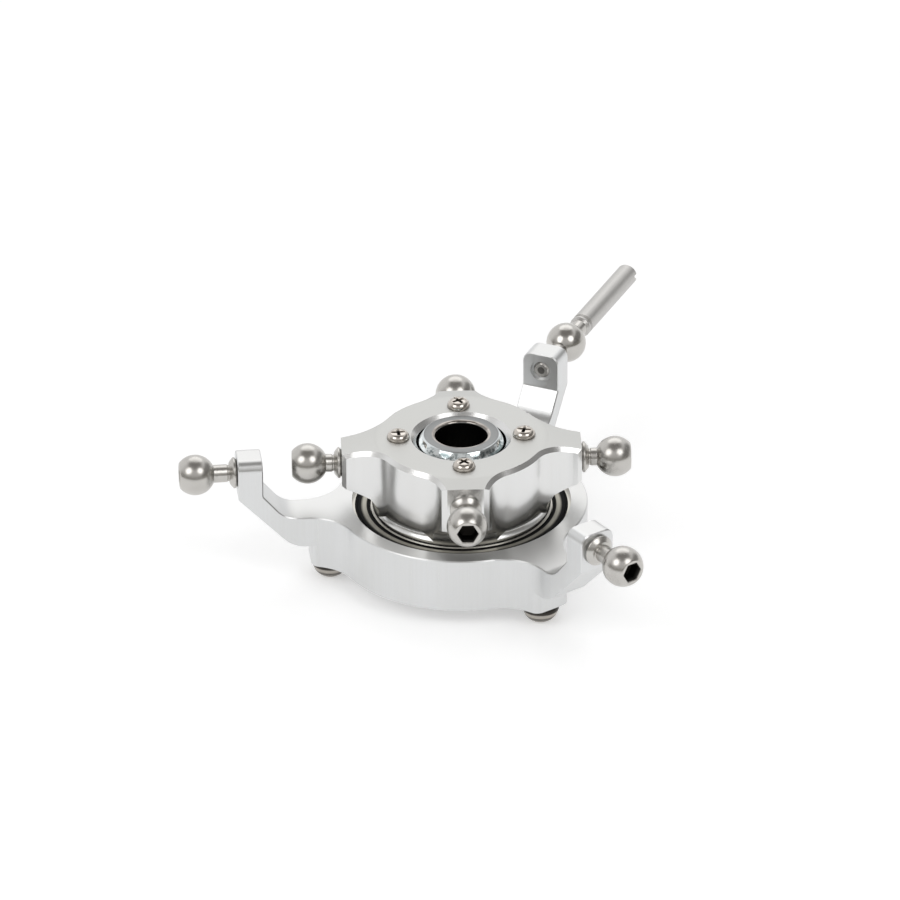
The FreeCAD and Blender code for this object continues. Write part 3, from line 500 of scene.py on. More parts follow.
@dataclass(frozen=True)
class BallChrome(Finish):
    """Chrome of the shaft ball: ground flat ends, a rubbed lip, painted reflection mottled dark towards its
    sides, and a bore painted black as shade.
    """

    bore_r: float
    lip_w: float = 0.5 * MM
    reflection_from: float = 4.35 * MM
    reflection_full: float = 4.75 * MM
    reflected_colour: Colour = (0.06, 0.10, 0.105)
    face_colours: tuple[Colour, Colour] = ((0.27, 0.275, 0.275), (0.17, 0.175, 0.175))
    lip_colours: tuple[Colour, Colour] = ((0.46, 0.43, 0.40), (0.23, 0.21, 0.19))
    bore_shade_colour: Colour = (0.012, 0.012, 0.010)

    def paint(self, tree: Tree) -> None:
        """Draws the chrome, then its painted reflection, flat ends, lip and the painted shade of the bore over
        it.

        Args:
            tree: The material's empty tree.
        """
        radius = tree.radius()
        bore = 1 - radius.step(self.bore_r + 0.01 * MM, self.bore_r + 0.07 * MM)
        level = abs(tree.facing()[2]).step(0.9, 0.98)
        lip_end = self.bore_r + self.lip_w
        lip = (1 - radius.step(lip_end - 0.15 * MM, lip_end)) * (1 - bore)
        ground = tree.noise(2600, 3, tree.rings(0.0), 0.6)
        fine = tree.noise(7000, 3)
        swirl = tree.noise(900, 2)
        # Painted reflection: dark mottles that spread towards the ball's sides.
        painted_reflection = tree.noise(700, 4, rough=0.7).step(0.44, 0.58) * radius.step(self.reflection_from, self.reflection_full)
        rub = tree.noise(520, 2).step(0.4, 0.62)
        colour = tree.blend(painted_reflection * 0.85, self.colour, self.reflected_colour)
        colour = tree.blend(level, colour, tree.blend(ground * 0.8, *self.face_colours))
        colour = tree.blend(lip, colour, tree.blend(rub, *self.lip_colours))
        # The bore is painted near black as shade.
        colour = tree.blend(bore, colour, self.bore_shade_colour)
        rough = level * 0.3 + fine.fit(-0.01, 0.02) + bore * 0.4 + 0.05
        normal = tree.bump(swirl, 0.05 * MM, 0.6, tree.bump(fine, 0.0006 * MM, 0.5))
        tree.shader(colour, rough, 1.0, normal)


@dataclass(frozen=True)
class Moulded(Finish):
    """Moulded rubber or plastic with a fine matt skin."""

    roughness: float = 0.5
    specular: float = 0.5
    skin_depth: float = 0.008 * MM

    def paint(self, tree: Tree) -> None:
        """Draws the skin and paler clouds in it.

        Args:
            tree: The material's empty tree.
        """
        skin = tree.noise(4200, 3)
        cloud = tree.noise(240, 2)
        pale = tuple(value * 1.5 + 0.004 for value in self.colour)
        colour = tree.blend(cloud.step(0.35, 0.8) * 0.4 + skin * 0.2, self.colour, pale)
        rough = skin.fit(-0.08, 0.08) + cloud.fit(-0.06, 0.06) + self.roughness
        normal = tree.bump(skin, self.skin_depth, 0.5)
        tree.shader(colour, rough, 0.0, normal, Specular_IOR_Level=self.specular)


@dataclass(frozen=True)
class Insert(Finish):
    """Steel insert of a seal, bright along its middle, with painted shade along both edges where the rubber
    meets it.
    """

    in_r: float
    out_r: float
    shade_in: float = 0.1 * MM
    shade_out: float = 0.3 * MM
    edge_shade_colour: Colour = (0.02, 0.018, 0.015)

    def paint(self, tree: Tree) -> None:
        """Draws turned, stained steel and painted shade along both edges.

        Args:
            tree: The material's empty tree.
        """
        radius = tree.radius()
        # Painted shade along the inner and outer edge, where the rubber meets the insert.
        inner = 1 - radius.step(self.in_r, self.in_r + self.shade_in)
        edge_shade = inner.most(radius.step(self.out_r - self.shade_out, self.out_r))
        rings = tree.noise(9000, 3, tree.rings(1.0), 0.6)
        stain = tree.noise(900, 3)
        steel = tree.blend(rings * 0.7 + stain * 0.3, scaled(self.colour, 0.8), scaled(self.colour, 1.2))
        colour = tree.blend(edge_shade * 0.9, steel, self.edge_shade_colour)
        tree.shader(colour, rings.fit(0.32, 0.48), 1.0, tree.bump(rings, 0.003 * MM, 0.5))


def scaled(colour: Colour, factor: float, tint: Colour = WHITE) -> Colour:
    """A lighter or darker shade of a colour, tinted and kept at white or below."""
    return tuple(min(1.0, value * factor * part) for value, part in zip(colour, tint))


RING_METAL = Machined("ring_aluminium", (0.71, 0.715, 0.72), painted_level_colour=(0.68, 0.68, 0.68),
                      level_roughness=0.4)
STAR_METAL = Machined("star_aluminium", (0.76, 0.76, 0.76), roughness=0.2, painted_level_colour=(0.58, 0.58, 0.57))
TURNED_METAL = Machined("turned_aluminium", (0.74, 0.74, 0.745), cut=Cut.TURNED, level_roughness=0.4)
RACE_STEEL = Machined("race_steel", (0.55, 0.53, 0.49), roughness=0.25, level_roughness=0.3, cut=Cut.TURNED)
PLATE_STEEL = Insert("plate_steel", (0.36, 0.345, 0.30), PLATE_IN_R, PLATE_OUT_R)
STUD_STEEL = Plated("stud_steel", (0.54, 0.525, 0.50), roughness=0.25, wear=0.03, grain_depth=0.0006 * MM)
NICKEL = Plated("nickel", (0.57, 0.53, 0.485), roughness=0.11)
BUTTON_STEEL = Plated("button_steel", (0.46, 0.43, 0.39), roughness=0.14)
BALL_STEEL = Plated("bearing_ball_steel", (0.72, 0.72, 0.72), roughness=0.05)
RUBBER = Moulded("seal_rubber", (0.003, 0.003, 0.0032), specular=0.06)
NYLON = Moulded("cage_nylon", (0.62, 0.58, 0.47))
LINER = Moulded("liner_plastic", (0.012, 0.012, 0.014), roughness=0.35)


# ------------------------------------------------------------------ shaping

class Form:
    """A mesh in the making, about its own Z axis."""

    def __init__(self) -> None:
        """Starts with nothing."""
        self.shape = bmesh.new()
        # Vertex layer of painted shade, which Plated turns dark.
        self.depth = self.shape.verts.layers.float.new(PAINTED_SHADE)
        self.end: Any = None

    def to(self, radius: float, height: float, dark: float = 0.0) -> "Form":
        """Draws the profile on.

        Args:
            radius: Distance from the axis.
            height: Height along it.
            dark: Painted shade, 0 to 1.

        Returns:
            The form.
        """
        corner = self.shape.verts.new((radius, 0, height))
        corner[self.depth] = dark
        if self.end is not None:
            self.shape.edges.new((self.end, corner))
        self.end = corner
        return self

    def arc(self, radius: float, height: float, degrees: float, steps: int) -> "Form":
        """Draws the profile on along an arc.

        Args:
            radius: Distance of the arc's centre from the axis.
            height: Height of that centre.
            degrees: How far the arc goes, upwards on the outside if positive.
            steps: Number of straight pieces.

        Returns:
            The form.
        """
        turned = bmesh.ops.spin(self.shape, geom=[self.end], cent=(radius, 0, height), axis=(0, -1, 0),
                                angle=math.radians(degrees), steps=steps)
        self.end = next(item for item in turned["geom_last"] if isinstance(item, bmesh.types.BMVert))
        return self

    def turn(self, steps: int) -> "Form":
        """Turns the profile into a solid of revolution.

        Args:
            steps: Number of faces round the axis.

        Returns:
            The form.
        """
        bmesh.ops.spin(self.shape, geom=self.shape.verts[:] + self.shape.edges[:], cent=(0, 0, 0),
                       axis=(0, 0, 1), angle=math.tau, steps=steps, use_merge=True)
        bmesh.ops.remove_doubles(self.shape, verts=self.shape.verts, dist=MERGE)
        return self

    def rim(self, height: float, radius: float) -> list[Any]:
        """Finds a loop of edges on the form.

        Args:
            height: Height of the loop.
            radius: Its radius.

        Returns:
            Its edges.
        """
        def on_it(vert: Any) -> bool:
            """Whether a vertex lies on the loop."""
            away = math.hypot(vert.co.x, vert.co.y) - radius
            return abs(vert.co.z - height) < NEAR and abs(away) < NEAR
        return [edge for edge in self.shape.edges if all(on_it(vert) for vert in edge.verts)]

    def hexagon(self, corner_r: float, height: float, steps: int) -> list[Any]:
        """Adds a hexagonal loop.

        Args:
            corner_r: Radius of its corners.
            height: Its height.
            steps: Number of edges it is divided into.

        Returns:
            Its edges.
        """
        before = set(self.shape.edges)
        made = bmesh.ops.create_circle(self.shape, segments=HEX_COUNT, radius=corner_r,
                                       matrix=Matrix.Translation((0, 0, height)))
        sides = list({edge for vert in made["verts"] for edge in vert.link_edges})
        bmesh.ops.subdivide_edges(self.shape, edges=sides, cuts=steps // HEX_COUNT - 1)
        return [edge for edge in self.shape.edges if edge not in before]

    def bridge(self, first: list[Any], second: list[Any]) -> None:
        """Joins two loops of edges with faces."""
        bmesh.ops.bridge_loops(self.shape, edges=first + second)

    def sink(self, edges: list[Any], drop: float, shrink: float = 1.0, dark: float = 1.0) -> list[Any]:
        """Extrudes a loop down into the form.

        Args:
            edges: The loop.
            drop: How far down it goes.
            shrink: How much of its width is left.
            dark: Painted shade on the new loop, 0 to 1.

        Returns:
            The new loop.
        """
        made = bmesh.ops.extrude_edge_only(self.shape, edges=edges)["geom"]
        verts = [item for item in made if isinstance(item, bmesh.types.BMVert)]
        bmesh.ops.scale(self.shape, verts=verts, vec=(shrink, shrink, 1))
        bmesh.ops.translate(self.shape, verts=verts, vec=(0, 0, -drop))
        for vert in verts:
            vert[self.depth] = dark
        return [item for item in made if isinstance(item, bmesh.types.BMEdge)
                and all(vert in verts for vert in item.verts)]

    def close(self, edges: list[Any], drop: float) -> None:
        """Closes a loop with a shallow cone.

        Args:
            edges: The loop.
            drop: How far its middle lies under the loop.
        """
        face = bmesh.ops.contextual_create(self.shape, geom=edges)["faces"]
        tip = bmesh.ops.poke(self.shape, faces=face)["verts"]
        bmesh.ops.translate(self.shape, verts=tip, vec=(0, 0, -drop))
        # The cone's tip is painted in full shade.
        for vert in tip:
            vert[self.depth] = 1.0

    def soften(self, width: float, segments: int = 2, least: float = 28.0) -> "Form":
        """Bevels the sharp edges.

        Args:
            width: Width of the bevel.
            segments: Faces across it.
            least: Smallest bend that counts as sharp, in degrees.

        Returns:
            The form.
        """
        bmesh.ops.recalc_face_normals(self.shape, faces=self.shape.faces)
        sharp = [edge for edge in self.shape.edges
                 if len(edge.link_faces) == 2 and edge.calc_face_angle(0) > math.radians(least)]
        bmesh.ops.bevel(self.shape, geom=sharp, offset=width, offset_type="OFFSET", affect="EDGES",
                        segments=segments, profile=0.5, material=-1, clamp_overlap=True)
        return self

    def copied(self, places: list[Matrix]) -> "Form":
        """Repeats the form.

        Args:
            places: Where each copy goes. The first one takes the form itself.

        Returns:
            The form.
        """
        first = self.shape.verts[:] + self.shape.edges[:] + self.shape.faces[:]
        for place in places[1:]:
            made = bmesh.ops.duplicate(self.shape, geom=first)["geom"]
            verts = [item for item in made if isinstance(item, bmesh.types.BMVert)]
            bmesh.ops.transform(self.shape, matrix=place, verts=verts)
        verts = [item for item in first if isinstance(item, bmesh.types.BMVert)]
        bmesh.ops.transform(self.shape, matrix=places[0], verts=verts)
        return self

    def finish(self, name: str, material: bpy.types.Material) -> bpy.types.Object:
        """Makes the object.

        Args:
            name: Name of the piece.
            material: Its material.

        Returns:
            The object, at the origin.
        """
        bmesh.ops.remove_doubles(self.shape, verts=self.shape.verts, dist=MERGE)
        bmesh.ops.recalc_face_normals(self.shape, faces=self.shape.faces)
        for face in self.shape.faces:
            face.smooth = True
        mesh = bpy.data.meshes.new(name)
        self.shape.to_mesh(mesh)
        self.shape.free()
        mesh.materials.append(material)
        piece = bpy.data.objects.new(name, mesh)
        bpy.context.scene.collection.objects.link(piece)
        even = piece.modifiers.new("even_shading", "WEIGHTED_NORMAL")
        even.weight = 80
        return piece


# ------------------------------------------------------------------ the sub-assemblies

class Palette:
    """The materials made so far, one for each finish."""

    def __init__(self) -> None:
        """Starts with none."""
        self.made: dict[str, bpy.types.Material] = {}

    def get(self, finish: Finish) -> bpy.types.Material:
        """Gives a finish's material and makes it the first time.

        Args:
            finish: The finish.

        Returns:
            Its material.
        """
        if finish.name not in self.made:
            self.made[finish.name] = finish.material()
        return self.made[finish.name]


PALETTE = Palette()


def dress(node: str, finish: Finish) -> None:
    """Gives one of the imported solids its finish.

    Args:
        node: Name of the solid.
        finish: The finish.
    """
    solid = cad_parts[node]
    solid.data.materials.clear()
    solid.data.materials.append(PALETTE.get(finish))
    LOG.info("%s is finished in %s", node, finish.name)


def stand_for(form: Form, node: str, body: str, finish: Finish) -> None:
    """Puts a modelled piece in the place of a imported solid.

    Args:
        form: The piece.
        node: Name of the solid that it stands for.
        body: Body that it rides on.
        finish: Its finish.
    """
    piece = form.finish(node + "_detail", PALETTE.get(finish))
    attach(piece, body)
    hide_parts(node)
    LOG.info("%s has %d faces", piece.name, len(piece.data.polygons))


def spoke_place(radius: float, height: float, spoke: float) -> Matrix:
    """Place of a piece on a circle round the shaft.

    Args:
        radius: Radius of the circle.
        height: Its height.
        spoke: Direction of the place, in degrees from +X.

    Returns:
        The move to that place, without a turn.
    """
    turn = math.radians(spoke)
    return Matrix.Translation((radius * math.cos(turn), radius * math.sin(turn), height))


@dataclass
class LowerRing:
    """The half that doesn't rotate, with the retainer and its three button head screws."""

    low_z: float = -11.8 * MM
    screw_circle_r: float = 15.45 * MM
    head_r: float = 2.15 * MM
    head_h: float = 2.3 * MM
    rim_h: float = 0.8 * MM
    top_r: float = 1.1 * MM
    socket_r: float = 0.87 * MM
    socket_h: float = 0.9 * MM
    mouth_h: float = 0.12 * MM
    cone_h: float = 0.2 * MM
    thread_r: float = 1.0 * MM
    thread_h: float = 4.5 * MM
    tip: float = 0.2 * MM
    count: int = 3
    turned_by: float = 0.4

    def build(self) -> None:
        """Dresses the ring and the retainer and builds the screws."""
        dress("lower_ring", RING_METAL)
        dress("bearing_retainer", TURNED_METAL)
        stand_for(self.screws(), "retainer_screws", "lower_ring", BUTTON_STEEL)

    def screws(self) -> Form:
        """Builds the three screws, head down.

        Returns:
            The screws.
        """
        out, rim_h = self.head_r, self.rim_h
        form = Form()
        form.to(0, -self.thread_h).to(self.thread_r - self.tip, -self.thread_h)
        form.to(self.thread_r, -self.thread_h + self.tip).to(self.thread_r, 0)
        # The third numbers paint shade and reflection by height: dark where the head meets the ring, a painted
        # highlight band just past the rim, a darker band above it and a mid grey top.
        form.to(out - 0.22 * MM, 0, 0.7).to(out - 0.05 * MM, 0.1 * MM, 0.7).to(out, 0.32 * MM, 0.7)
        form.to(out, rim_h, 0.62).to(out - 0.05 * MM, rim_h + 0.2 * MM, 0.05)
        form.to(out - 0.12 * MM, rim_h + 0.42 * MM).to(out - 0.2 * MM, rim_h + 0.6 * MM, 0.5)
        form.to(out - 0.32 * MM, rim_h + 0.8 * MM, 0.55).to(out - 0.62 * MM, rim_h + 1.18 * MM, 0.34)
        form.to(self.top_r, self.head_h, 0.2).turn(SCREW_STEPS)
        mouth = form.rim(self.head_h, self.top_r)
        rim = form.hexagon(self.socket_r, self.head_h - 0.05 * MM, SCREW_STEPS)
        form.bridge(mouth, rim)
        # The hex socket's walls and floor are painted dark as shade.
        wall = form.sink(rim, self.mouth_h, 0.97, 0.5)
        form.close(form.sink(wall, self.socket_h - self.mouth_h), self.cone_h)
        form.soften(0.06 * MM)
        over = Matrix.Rotation(math.pi, 4, "X")
        return form.copied([
            spoke_place(self.screw_circle_r, self.low_z, 90 + 360 / self.count * number) @ over
            @ Matrix.Rotation(self.turned_by * number, 4, "Z") for number in range(self.count)])


@dataclass
class UpperStar:
    """The half that rotates, with the seat holder and its four cross-recess screws."""

    clock: float = STAR_CLOCK
    screw_circle_r: float = 7.33 * MM
    seat_z: float = 3.02 * MM
    head_r: float = 1.3 * MM
    head_h: float = 0.9 * MM
    rim_h: float = 0.34 * MM
    face_r: float = 0.95 * MM
    wing: float = 0.82 * MM
    slot_w: float = 0.38 * MM
    brim_h: float = 0.06 * MM
    lip_h: float = 0.07 * MM
    recess_h: float = 0.42 * MM
    cone_h: float = 0.2 * MM
    thread_r: float = 0.8 * MM
    thread_h: float = 7.0 * MM
    tip: float = 0.2 * MM
    turned_by: tuple[float, ...] = (12.0, 58.0, 31.0, 71.0)

    def build(self) -> None:
        """Dresses the two machined parts and builds the screws."""
        dress("upper_star", STAR_METAL)
        dress("seat_holder", TURNED_METAL)
        stand_for(self.screws(), "seat_screws", "upper_star", NICKEL)

    def cross(self, form: Form, height: float) -> list[Any]:
        """Draws the mouth of the cross recess.

        Args:
            form: The screw.
            height: Height of its head.

        Returns:
            The loop's edges, 48 of them.
        """
        half, wing = self.slot_w / 2, self.wing
        corners = [form.shape.verts.new((x, y, height)) for x, y in (
            (wing, -half), (wing, half), (half, half), (half, wing), (-half, wing), (-half, half),
            (-wing, half), (-wing, -half), (-half, -half), (-half, -wing), (half, -wing), (half, -half))]
        before = set(form.shape.edges)
        sides = [form.shape.edges.new(pair) for pair in zip(corners, corners[1:] + corners[:1])]
        bmesh.ops.subdivide_edges(form.shape, edges=sides, cuts=3)
        return [edge for edge in form.shape.edges if edge not in before]

    def screws(self) -> Form:
        """Builds the four screws.

        Returns:
            The screws.
        """
        out, rim_h, face_h = self.head_r, self.rim_h, self.head_h - self.brim_h
        form = Form()
        form.to(0, -self.thread_h).to(self.thread_r - self.tip, -self.thread_h)
        form.to(self.thread_r, -self.thread_h + self.tip).to(self.thread_r, 0)
        form.to(out - 0.05 * MM, 0).to(out, 0.06 * MM).to(out, rim_h)
        form.to(out - 0.07 * MM, rim_h + 0.2 * MM).to(out - 0.2 * MM, rim_h + 0.36 * MM)
        form.to(self.face_r, face_h).turn(SCREW_STEPS)
        rim = self.cross(form, self.head_h)
        form.bridge(form.rim(face_h, self.face_r), rim)
        # The cross recess's walls and floor are painted dark as shade.
        lip = form.sink(rim, self.lip_h, 0.94, 0.25)
        form.close(form.sink(lip, self.recess_h, 0.62), self.cone_h)
        form.soften(0.03 * MM, least=40.0)
        return form.copied([
            spoke_place(self.screw_circle_r, self.seat_z, self.clock + 90 * number)
            @ Matrix.Rotation(math.radians(turned), 4, "Z") for number, turned in enumerate(self.turned_by)])


@dataclass
class Bearing:
    """Races, balls, cage and the two seals with their steel inserts."""

    top_z: float = -5.92 * MM
    low_z: float = -9.88 * MM
    thickness: float = 0.33 * MM
    lip_r: float = 10.66 * MM
    outer_r: float = 12.45 * MM
    plate_t: float = 0.15 * MM
    groove: float = 0.09 * MM

    def build(self) -> None:
        """Dresses the hard parts and builds the seals."""
        for node in ("bearing_outer_race", "bearing_inner_race"):
            dress(node, RACE_STEEL)
        for node in ("upper_seal_plate", "lower_seal_plate"):
            dress(node, PLATE_STEEL)
        dress("bearing_cage", NYLON)
        dress("bearing_balls", BALL_STEEL)
        stand_for(self.seal(self.top_z, 1), "upper_seal", "lower_ring", RUBBER)
        stand_for(self.seal(self.low_z, -1), "lower_seal", "lower_ring", RUBBER)

    def seal(self, face_z: float, up: int) -> Form:
        """Builds one rubber seal with its moulded lips and its seat for the insert.

        Args:
            face_z: Height of its outer face.
            up: 1 where that face looks up, -1 where it looks down.

        Returns:
            The seal.
        """
        def z(depth: float) -> float:
            """Height of a point at a depth under the outer face."""
            return face_z - up * depth
        form = Form()
        cut, deep, seat = self.groove, self.thickness, self.plate_t
        form.to(self.lip_r, z(deep)).to(self.outer_r, z(deep)).to(self.outer_r, z(0.05 * MM))
        form.to(self.outer_r - 0.05 * MM, z(0)).to(self.outer_r - 0.16 * MM, z(0))
        form.to(self.outer_r - 0.2 * MM, z(cut)).to(self.outer_r - 0.3 * MM, z(cut))
        form.to(self.outer_r - 0.34 * MM, z(0)).to(PLATE_OUT_R, z(0)).to(PLATE_OUT_R, z(seat))
        form.to(PLATE_IN_R, z(seat)).to(PLATE_IN_R, z(0)).to(PLATE_IN_R - 0.14 * MM, z(0))
        form.to(PLATE_IN_R - 0.19 * MM, z(cut)).to(self.lip_r + 0.1 * MM, z(cut))
        form.to(self.lip_r + 0.06 * MM, z(0.02 * MM)).to(self.lip_r, z(0.06 * MM)).to(self.lip_r, z(deep))
        return form.turn(RING_STEPS).soften(0.012 * MM, 1)


@dataclass
class LinkBalls:
    """The six ball studs, on arm faces of both halves, and the guide pin."""

    clock: float = STAR_CLOCK
    short_face: float = 11.85 * MM
    long_face: float = 13.98 * MM
    servo_face: float = 26.3 * MM
    star_standoff: float = 3.95 * MM
    servo_standoff: float = 4.83 * MM
    ball_r: float = 2.375 * MM
    flat: float = 1.85 * MM
    socket_r: float = 1.27 * MM
    socket_h: float = 1.6 * MM
    neck_r: float = 1.05 * MM
    seat_r: float = 1.55 * MM
    collar_r: float = 1.83 * MM
    mouth_h: float = 0.14 * MM
    cone_h: float = 0.35 * MM
    thread_r: float = 1.0 * MM
    thread_h: float = 2.75 * MM
    pitch: float = 0.4 * MM
    crest: float = 0.09 * MM
    crests: int = 5
    pin_root: float = 3.9 * MM
    pin_colour: Colour = (0.54, 0.53, 0.515)

    def build(self) -> None:
        """Builds the studs and dresses the guide pin."""
        star, servo = self.star_standoff, self.servo_standoff
        studs = (
            ("right_blade_ball", "upper_star", self.long_face, star, self.clock),
            ("rear_driver_ball", "upper_star", self.short_face, star, self.clock + 90),
            ("left_blade_ball", "upper_star", self.long_face, star, self.clock + 180),
            ("front_driver_ball", "upper_star", self.short_face, star, self.clock + 270),
            ("left_servo_ball", "lower_ring", self.servo_face, servo, 210.0),
            ("right_servo_ball", "lower_ring", self.servo_face, servo, 330.0),
        )
        for node, body, face, standoff, spoke in studs:
            stand_for(self.stud(face, standoff, spoke), node, body, STUD_STEEL)
        pin_from = self.servo_face + servo + self.pin_root
        dress("guide_pin", PinSteel("pin_steel", STUD_STEEL.colour, self.pin_colour, pin_from))

    def stud(self, face: float, standoff: float, spoke: float) -> Form:
        """Builds one ball stud.

        Args:
            face: Distance from the shaft to the arm's face.
            standoff: From that face to the middle of the ball.
            spoke: Direction of the arm, in degrees from +X.

        Returns:
            The stud, in its place.
        """
        seat = -standoff
        end = seat - self.thread_h
        start = math.degrees(math.acos(self.neck_r / self.ball_r))
        stop = math.degrees(math.asin(self.flat / self.ball_r))
        form = Form()
        form.to(0, end + 0.12 * MM).to(0.42 * MM, end + 0.12 * MM).to(0.5 * MM, end)
        form.to(self.thread_r - 0.3 * MM, end).to(self.thread_r, end + 0.35 * MM)
        for number in range(self.crests):
            low = end + 0.5 * MM + number * self.pitch
            form.to(self.thread_r, low).to(self.thread_r - self.crest, low + self.pitch / 2)
        form.to(self.thread_r, seat - 0.1 * MM).to(self.thread_r, seat).to(self.seat_r, seat)
        form.to(self.collar_r, seat + 0.22 * MM).to(self.collar_r, seat + 0.4 * MM)
        form.to(self.seat_r - 0.1 * MM, seat + 0.72 * MM).to(self.neck_r + 0.22 * MM, seat + 0.86 * MM)
        form.to(self.neck_r - 0.1 * MM, seat + 0.9 * MM).to(self.neck_r - 0.1 * MM, seat + 1.04 * MM)
        form.to(self.neck_r, seat + 1.12 * MM)
        form.to(self.neck_r, -self.ball_r * math.sin(math.radians(start)))
        form.arc(0, 0, start + stop, 28).turn(STUD_STEPS)
        mouth_r = math.sqrt(self.ball_r ** 2 - self.flat ** 2)
        rim = form.hexagon(self.socket_r, self.flat - 0.05 * MM, STUD_STEPS)
        form.bridge(form.rim(self.flat, mouth_r), rim)
        # The hex socket's walls and floor are painted dark as shade.
        wall = form.sink(rim, self.mouth_h, 0.96, 0.5)
        form.close(form.sink(wall, self.socket_h - self.mouth_h), self.cone_h)
        form.soften(0.045 * MM)
        place = Matrix.Rotation(math.radians(spoke), 4, "Z") @ Matrix.Translation((face + standoff, 0, 0))
        return form.copied([place @ Matrix.Rotation(math.pi / 2, 4, "Y")])


@dataclass
class ShaftBall:
    """The ball on the main shaft and the plastic liner round it."""

    ball_r: float = 5.6 * MM
    half: float = 3.45 * MM
    bore_r: float = 3.0 * MM
    lip: float = 0.36 * MM
    edge: float = 0.2 * MM
    colour: Colour = (0.72, 0.76, 0.77)

    def build(self) -> None:
        """Builds the ball and dresses the liner."""
        chrome = BallChrome("ball_chrome", self.colour, self.bore_r)
        stand_for(self.ball(), "shaft_ball", "shaft_ball", chrome)
        dress("ball_liner", LINER)

    def ball(self) -> Form:
        """Builds the ball with rounded lips at both ends of its bore.

        Returns:
            The ball.
        """
        form = Form()
        flat, lip = self.half, self.lip
        edge_z = flat - self.edge
        edge_r = math.sqrt(self.ball_r ** 2 - edge_z ** 2)
        rise = math.degrees(math.asin(edge_z / self.ball_r))
        brow_r, brow_z = edge_r - self.edge * 0.4, flat - self.edge * 0.35
        face_r = edge_r - self.edge * 1.1
        form.to(self.bore_r, lip - flat).arc(self.bore_r + lip, lip - flat, 90, 8)
        form.to(face_r, -flat).to(brow_r, -brow_z).to(edge_r, -edge_z).arc(0, 0, 2 * rise, 64)
        form.to(brow_r, brow_z).to(face_r, flat)
        form.to(self.bore_r + lip, flat).arc(self.bore_r + lip, flat - lip, 90, 8)
        form.to(self.bore_r, lip - flat)
        return form.turn(RING_STEPS)


# ------------------------------------------------------------------ the studio

@dataclass
class Lamp:
    """One soft box."""

    name: str
    azimuth: float
    elevation: float
    size: float
    power: float
    distance: float = 0.6

    def build(self, target: Vector) -> None:
        """Hangs the lamp so that it looks at a point.

        Args:
            target: The point.
        """
        data = bpy.data.lights.new(self.name, "AREA")
        data.shape = "DISK"
        data.size = self.size
        data.energy = self.power
        lamp = bpy.data.objects.new(self.name, data)
        away = direction(self.azimuth, self.elevation)
        lamp.location = target + away * self.distance
        lamp.rotation_mode = "QUATERNION"
        lamp.rotation_quaternion = away.to_track_quat("Z", "Y")
        bpy.context.scene.collection.objects.link(lamp)


def direction(azimuth: float, elevation: float) -> Vector:
    """Direction from the object to an eye or a lamp.

    Args:
        azimuth: Degrees, 0 in front on -Y and 90 on +X.
        elevation: Degrees above the horizon.

    Returns:
        The unit vector.
    """
    turn, rise = math.radians(azimuth), math.radians(elevation)
    return Vector((math.sin(turn) * math.cos(rise), -math.cos(turn) * math.cos(rise), math.sin(rise)))


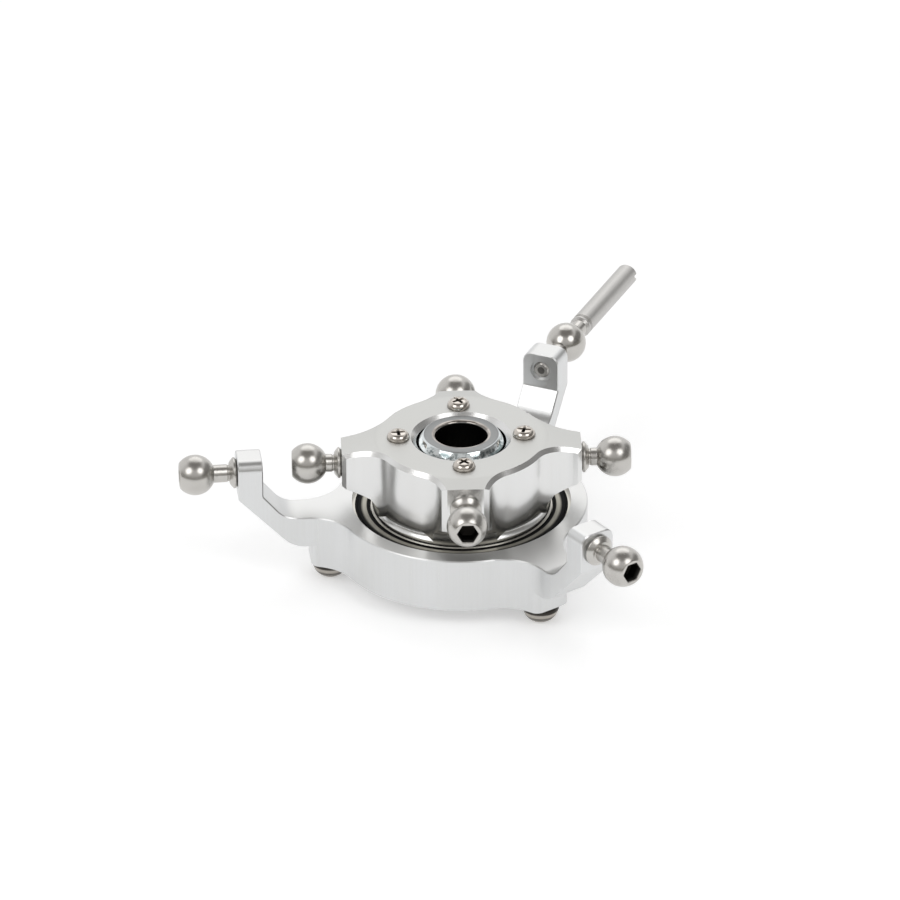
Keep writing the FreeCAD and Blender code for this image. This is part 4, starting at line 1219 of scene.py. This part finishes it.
@dataclass
class Studio:
    """Floor, backdrop, lamps and camera."""

    azimuth: float = 23.79
    elevation: float = 29.16
    distance: float = 1.149
    lens: float = 394.7
    roll: float = -0.237
    target: tuple[float, float, float] = (-1.20 * MM, -0.53 * MM, 1.30 * MM)
    floor_half: float = 3.0
    floor_colour: Colour = (0.86, 0.86, 0.86)
    floor_glow: float = 0.38
    sheet: Colour = (0.97, 0.97, 0.97)
    horizon: Colour = (0.22, 0.212, 0.185)
    upper_room: Colour = (0.66, 0.65, 0.64)
    ceiling: Colour = (0.26, 0.25, 0.24)
    dark_card: Colour = (0.12, 0.115, 0.108)
    fill: Colour = (0.5, 0.5, 0.5)
    lamps: tuple[Lamp, ...] = (
        Lamp("left_box", -27, 42, 0.36, 0.6),
        Lamp("right_box", 67, 46, 0.34, 0.56),
        Lamp("back_box", 204, 50, 0.8, 1.2, distance=0.9),
    )

    def build(self, floor_z: float) -> None:
        """Sets everything up.

        Args:
            floor_z: Height of the surface the object stands on.
        """
        self.floor(floor_z)
        self.world()
        for lamp in self.lamps:
            lamp.build(Vector(self.target))
        self.camera()

    def floor(self, floor_z: float) -> None:
        """Lays a pale floor that keeps the object's shadow.

        Args:
            floor_z: Its height.
        """
        mesh = bpy.data.meshes.new("floor")
        shape = bmesh.new()
        bmesh.ops.create_grid(shape, x_segments=1, y_segments=1, size=self.floor_half,
                              matrix=Matrix.Translation((0, 0, floor_z)))
        shape.to_mesh(mesh)
        shape.free()
        floor = bpy.data.objects.new("floor", mesh)
        bpy.context.scene.collection.objects.link(floor)
        material = bpy.data.materials.new("floor_paper")
        tree = Tree(material)
        path = tree.add("ShaderNodeLightPath").socket.node
        seen = Sock(tree, path.outputs["Is Camera Ray"]).most(Sock(tree, path.outputs["Is Glossy Ray"]))
        paper = tree.add("ShaderNodeBsdfDiffuse", None, {"Color": tree.colour(self.floor_colour)})
        glow = tree.add("ShaderNodeEmission", None, {
            "Color": tree.colour(WHITE), "Strength": seen * self.floor_glow})
        both = tree.add("ShaderNodeAddShader", None, {0: paper, 1: glow})
        below = tree.add("ShaderNodeNewGeometry", out="Backfacing") * Sock(tree, path.outputs["Is Camera Ray"])
        clear = tree.add("ShaderNodeBsdfTransparent")
        surface = tree.add("ShaderNodeMixShader", None, {0: below, 1: both, 2: clear})
        tree.add("ShaderNodeOutputMaterial", None, {"Surface": surface})
        mesh.materials.append(material)
        floor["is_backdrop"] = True

    def world(self) -> None:
        """Surrounds the object: even light, white to the camera, and a room for what mirrors it.

        The room has a sheet of paper behind the object, a dark card at its right, and grows lighter
        from the horizon up to a darker ceiling.
        """
        world = bpy.data.worlds.new("studio")
        bpy.context.scene.world = world
        tree = Tree(world)
        across, along, up = tree.parts(tree.add("ShaderNodeTexCoord", out="Generated"))
        front = direction(self.azimuth, 0)
        behind = across * -front.x - along * front.y
        paper = behind.step(-0.2, 0.35) * (1 - up.step(0.7, 0.92))
        room = tree.blend(up.step(0.05, 0.44), self.horizon, self.upper_room)
        room = tree.blend(up.step(0.75, 0.93), room, self.ceiling)
        room = tree.blend(paper, room, self.sheet)
        right = across * -front.y + along * front.x
        card = right.step(0.52, 0.74) * up.step(0.14, 0.26) * (1 - up.step(0.6, 0.76))
        room = tree.blend(card * 0.8, room, self.dark_card)
        path = tree.add("ShaderNodeLightPath").socket.node
        soft = tree.blend(Sock(tree, path.outputs["Is Glossy Ray"]), self.fill, room)
        colour = tree.blend(Sock(tree, path.outputs["Is Camera Ray"]), soft, WHITE)
        light = tree.add("ShaderNodeBackground", None, {"Color": colour, "Strength": 1.0})
        tree.add("ShaderNodeOutputWorld", None, {"Surface": light})

    def camera(self) -> None:
        """Puts the camera at the viewing angle."""
        data = bpy.data.cameras.new("camera")
        data.sensor_width = 36
        data.lens = self.lens
        data.clip_start = 0.05
        data.clip_end = 20
        camera = bpy.data.objects.new("camera", data)
        away = direction(self.azimuth, self.elevation)
        camera.location = Vector(self.target) + away * self.distance
        camera.rotation_mode = "QUATERNION"
        turn = away.to_track_quat("Z", "Y")
        camera.rotation_quaternion = turn @ Quaternion((0, 0, 1), math.radians(self.roll))
        bpy.context.scene.collection.objects.link(camera)
        bpy.context.scene.camera = camera


def corners() -> list[list[float]]:
    """Lowest and highest corner of all that is shown.

    Returns:
        The two corners as lists.
    """
    return [list(corner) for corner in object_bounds()]


def main() -> None:
    """Builds the looks and the studio."""
    logging.basicConfig(level=logging.INFO, format="%(name)s: %(message)s")
    solid_box = corners()
    bpy.context.scene.view_settings.view_transform = "Standard"
    for assembly in (LowerRing(), UpperStar(), Bearing(), LinkBalls(), ShaftBall()):
        LOG.info("building the %s", type(assembly).__name__)
        assembly.build()
    Studio().build(solid_box[0][2])


if __name__ == "__main__":
    main()
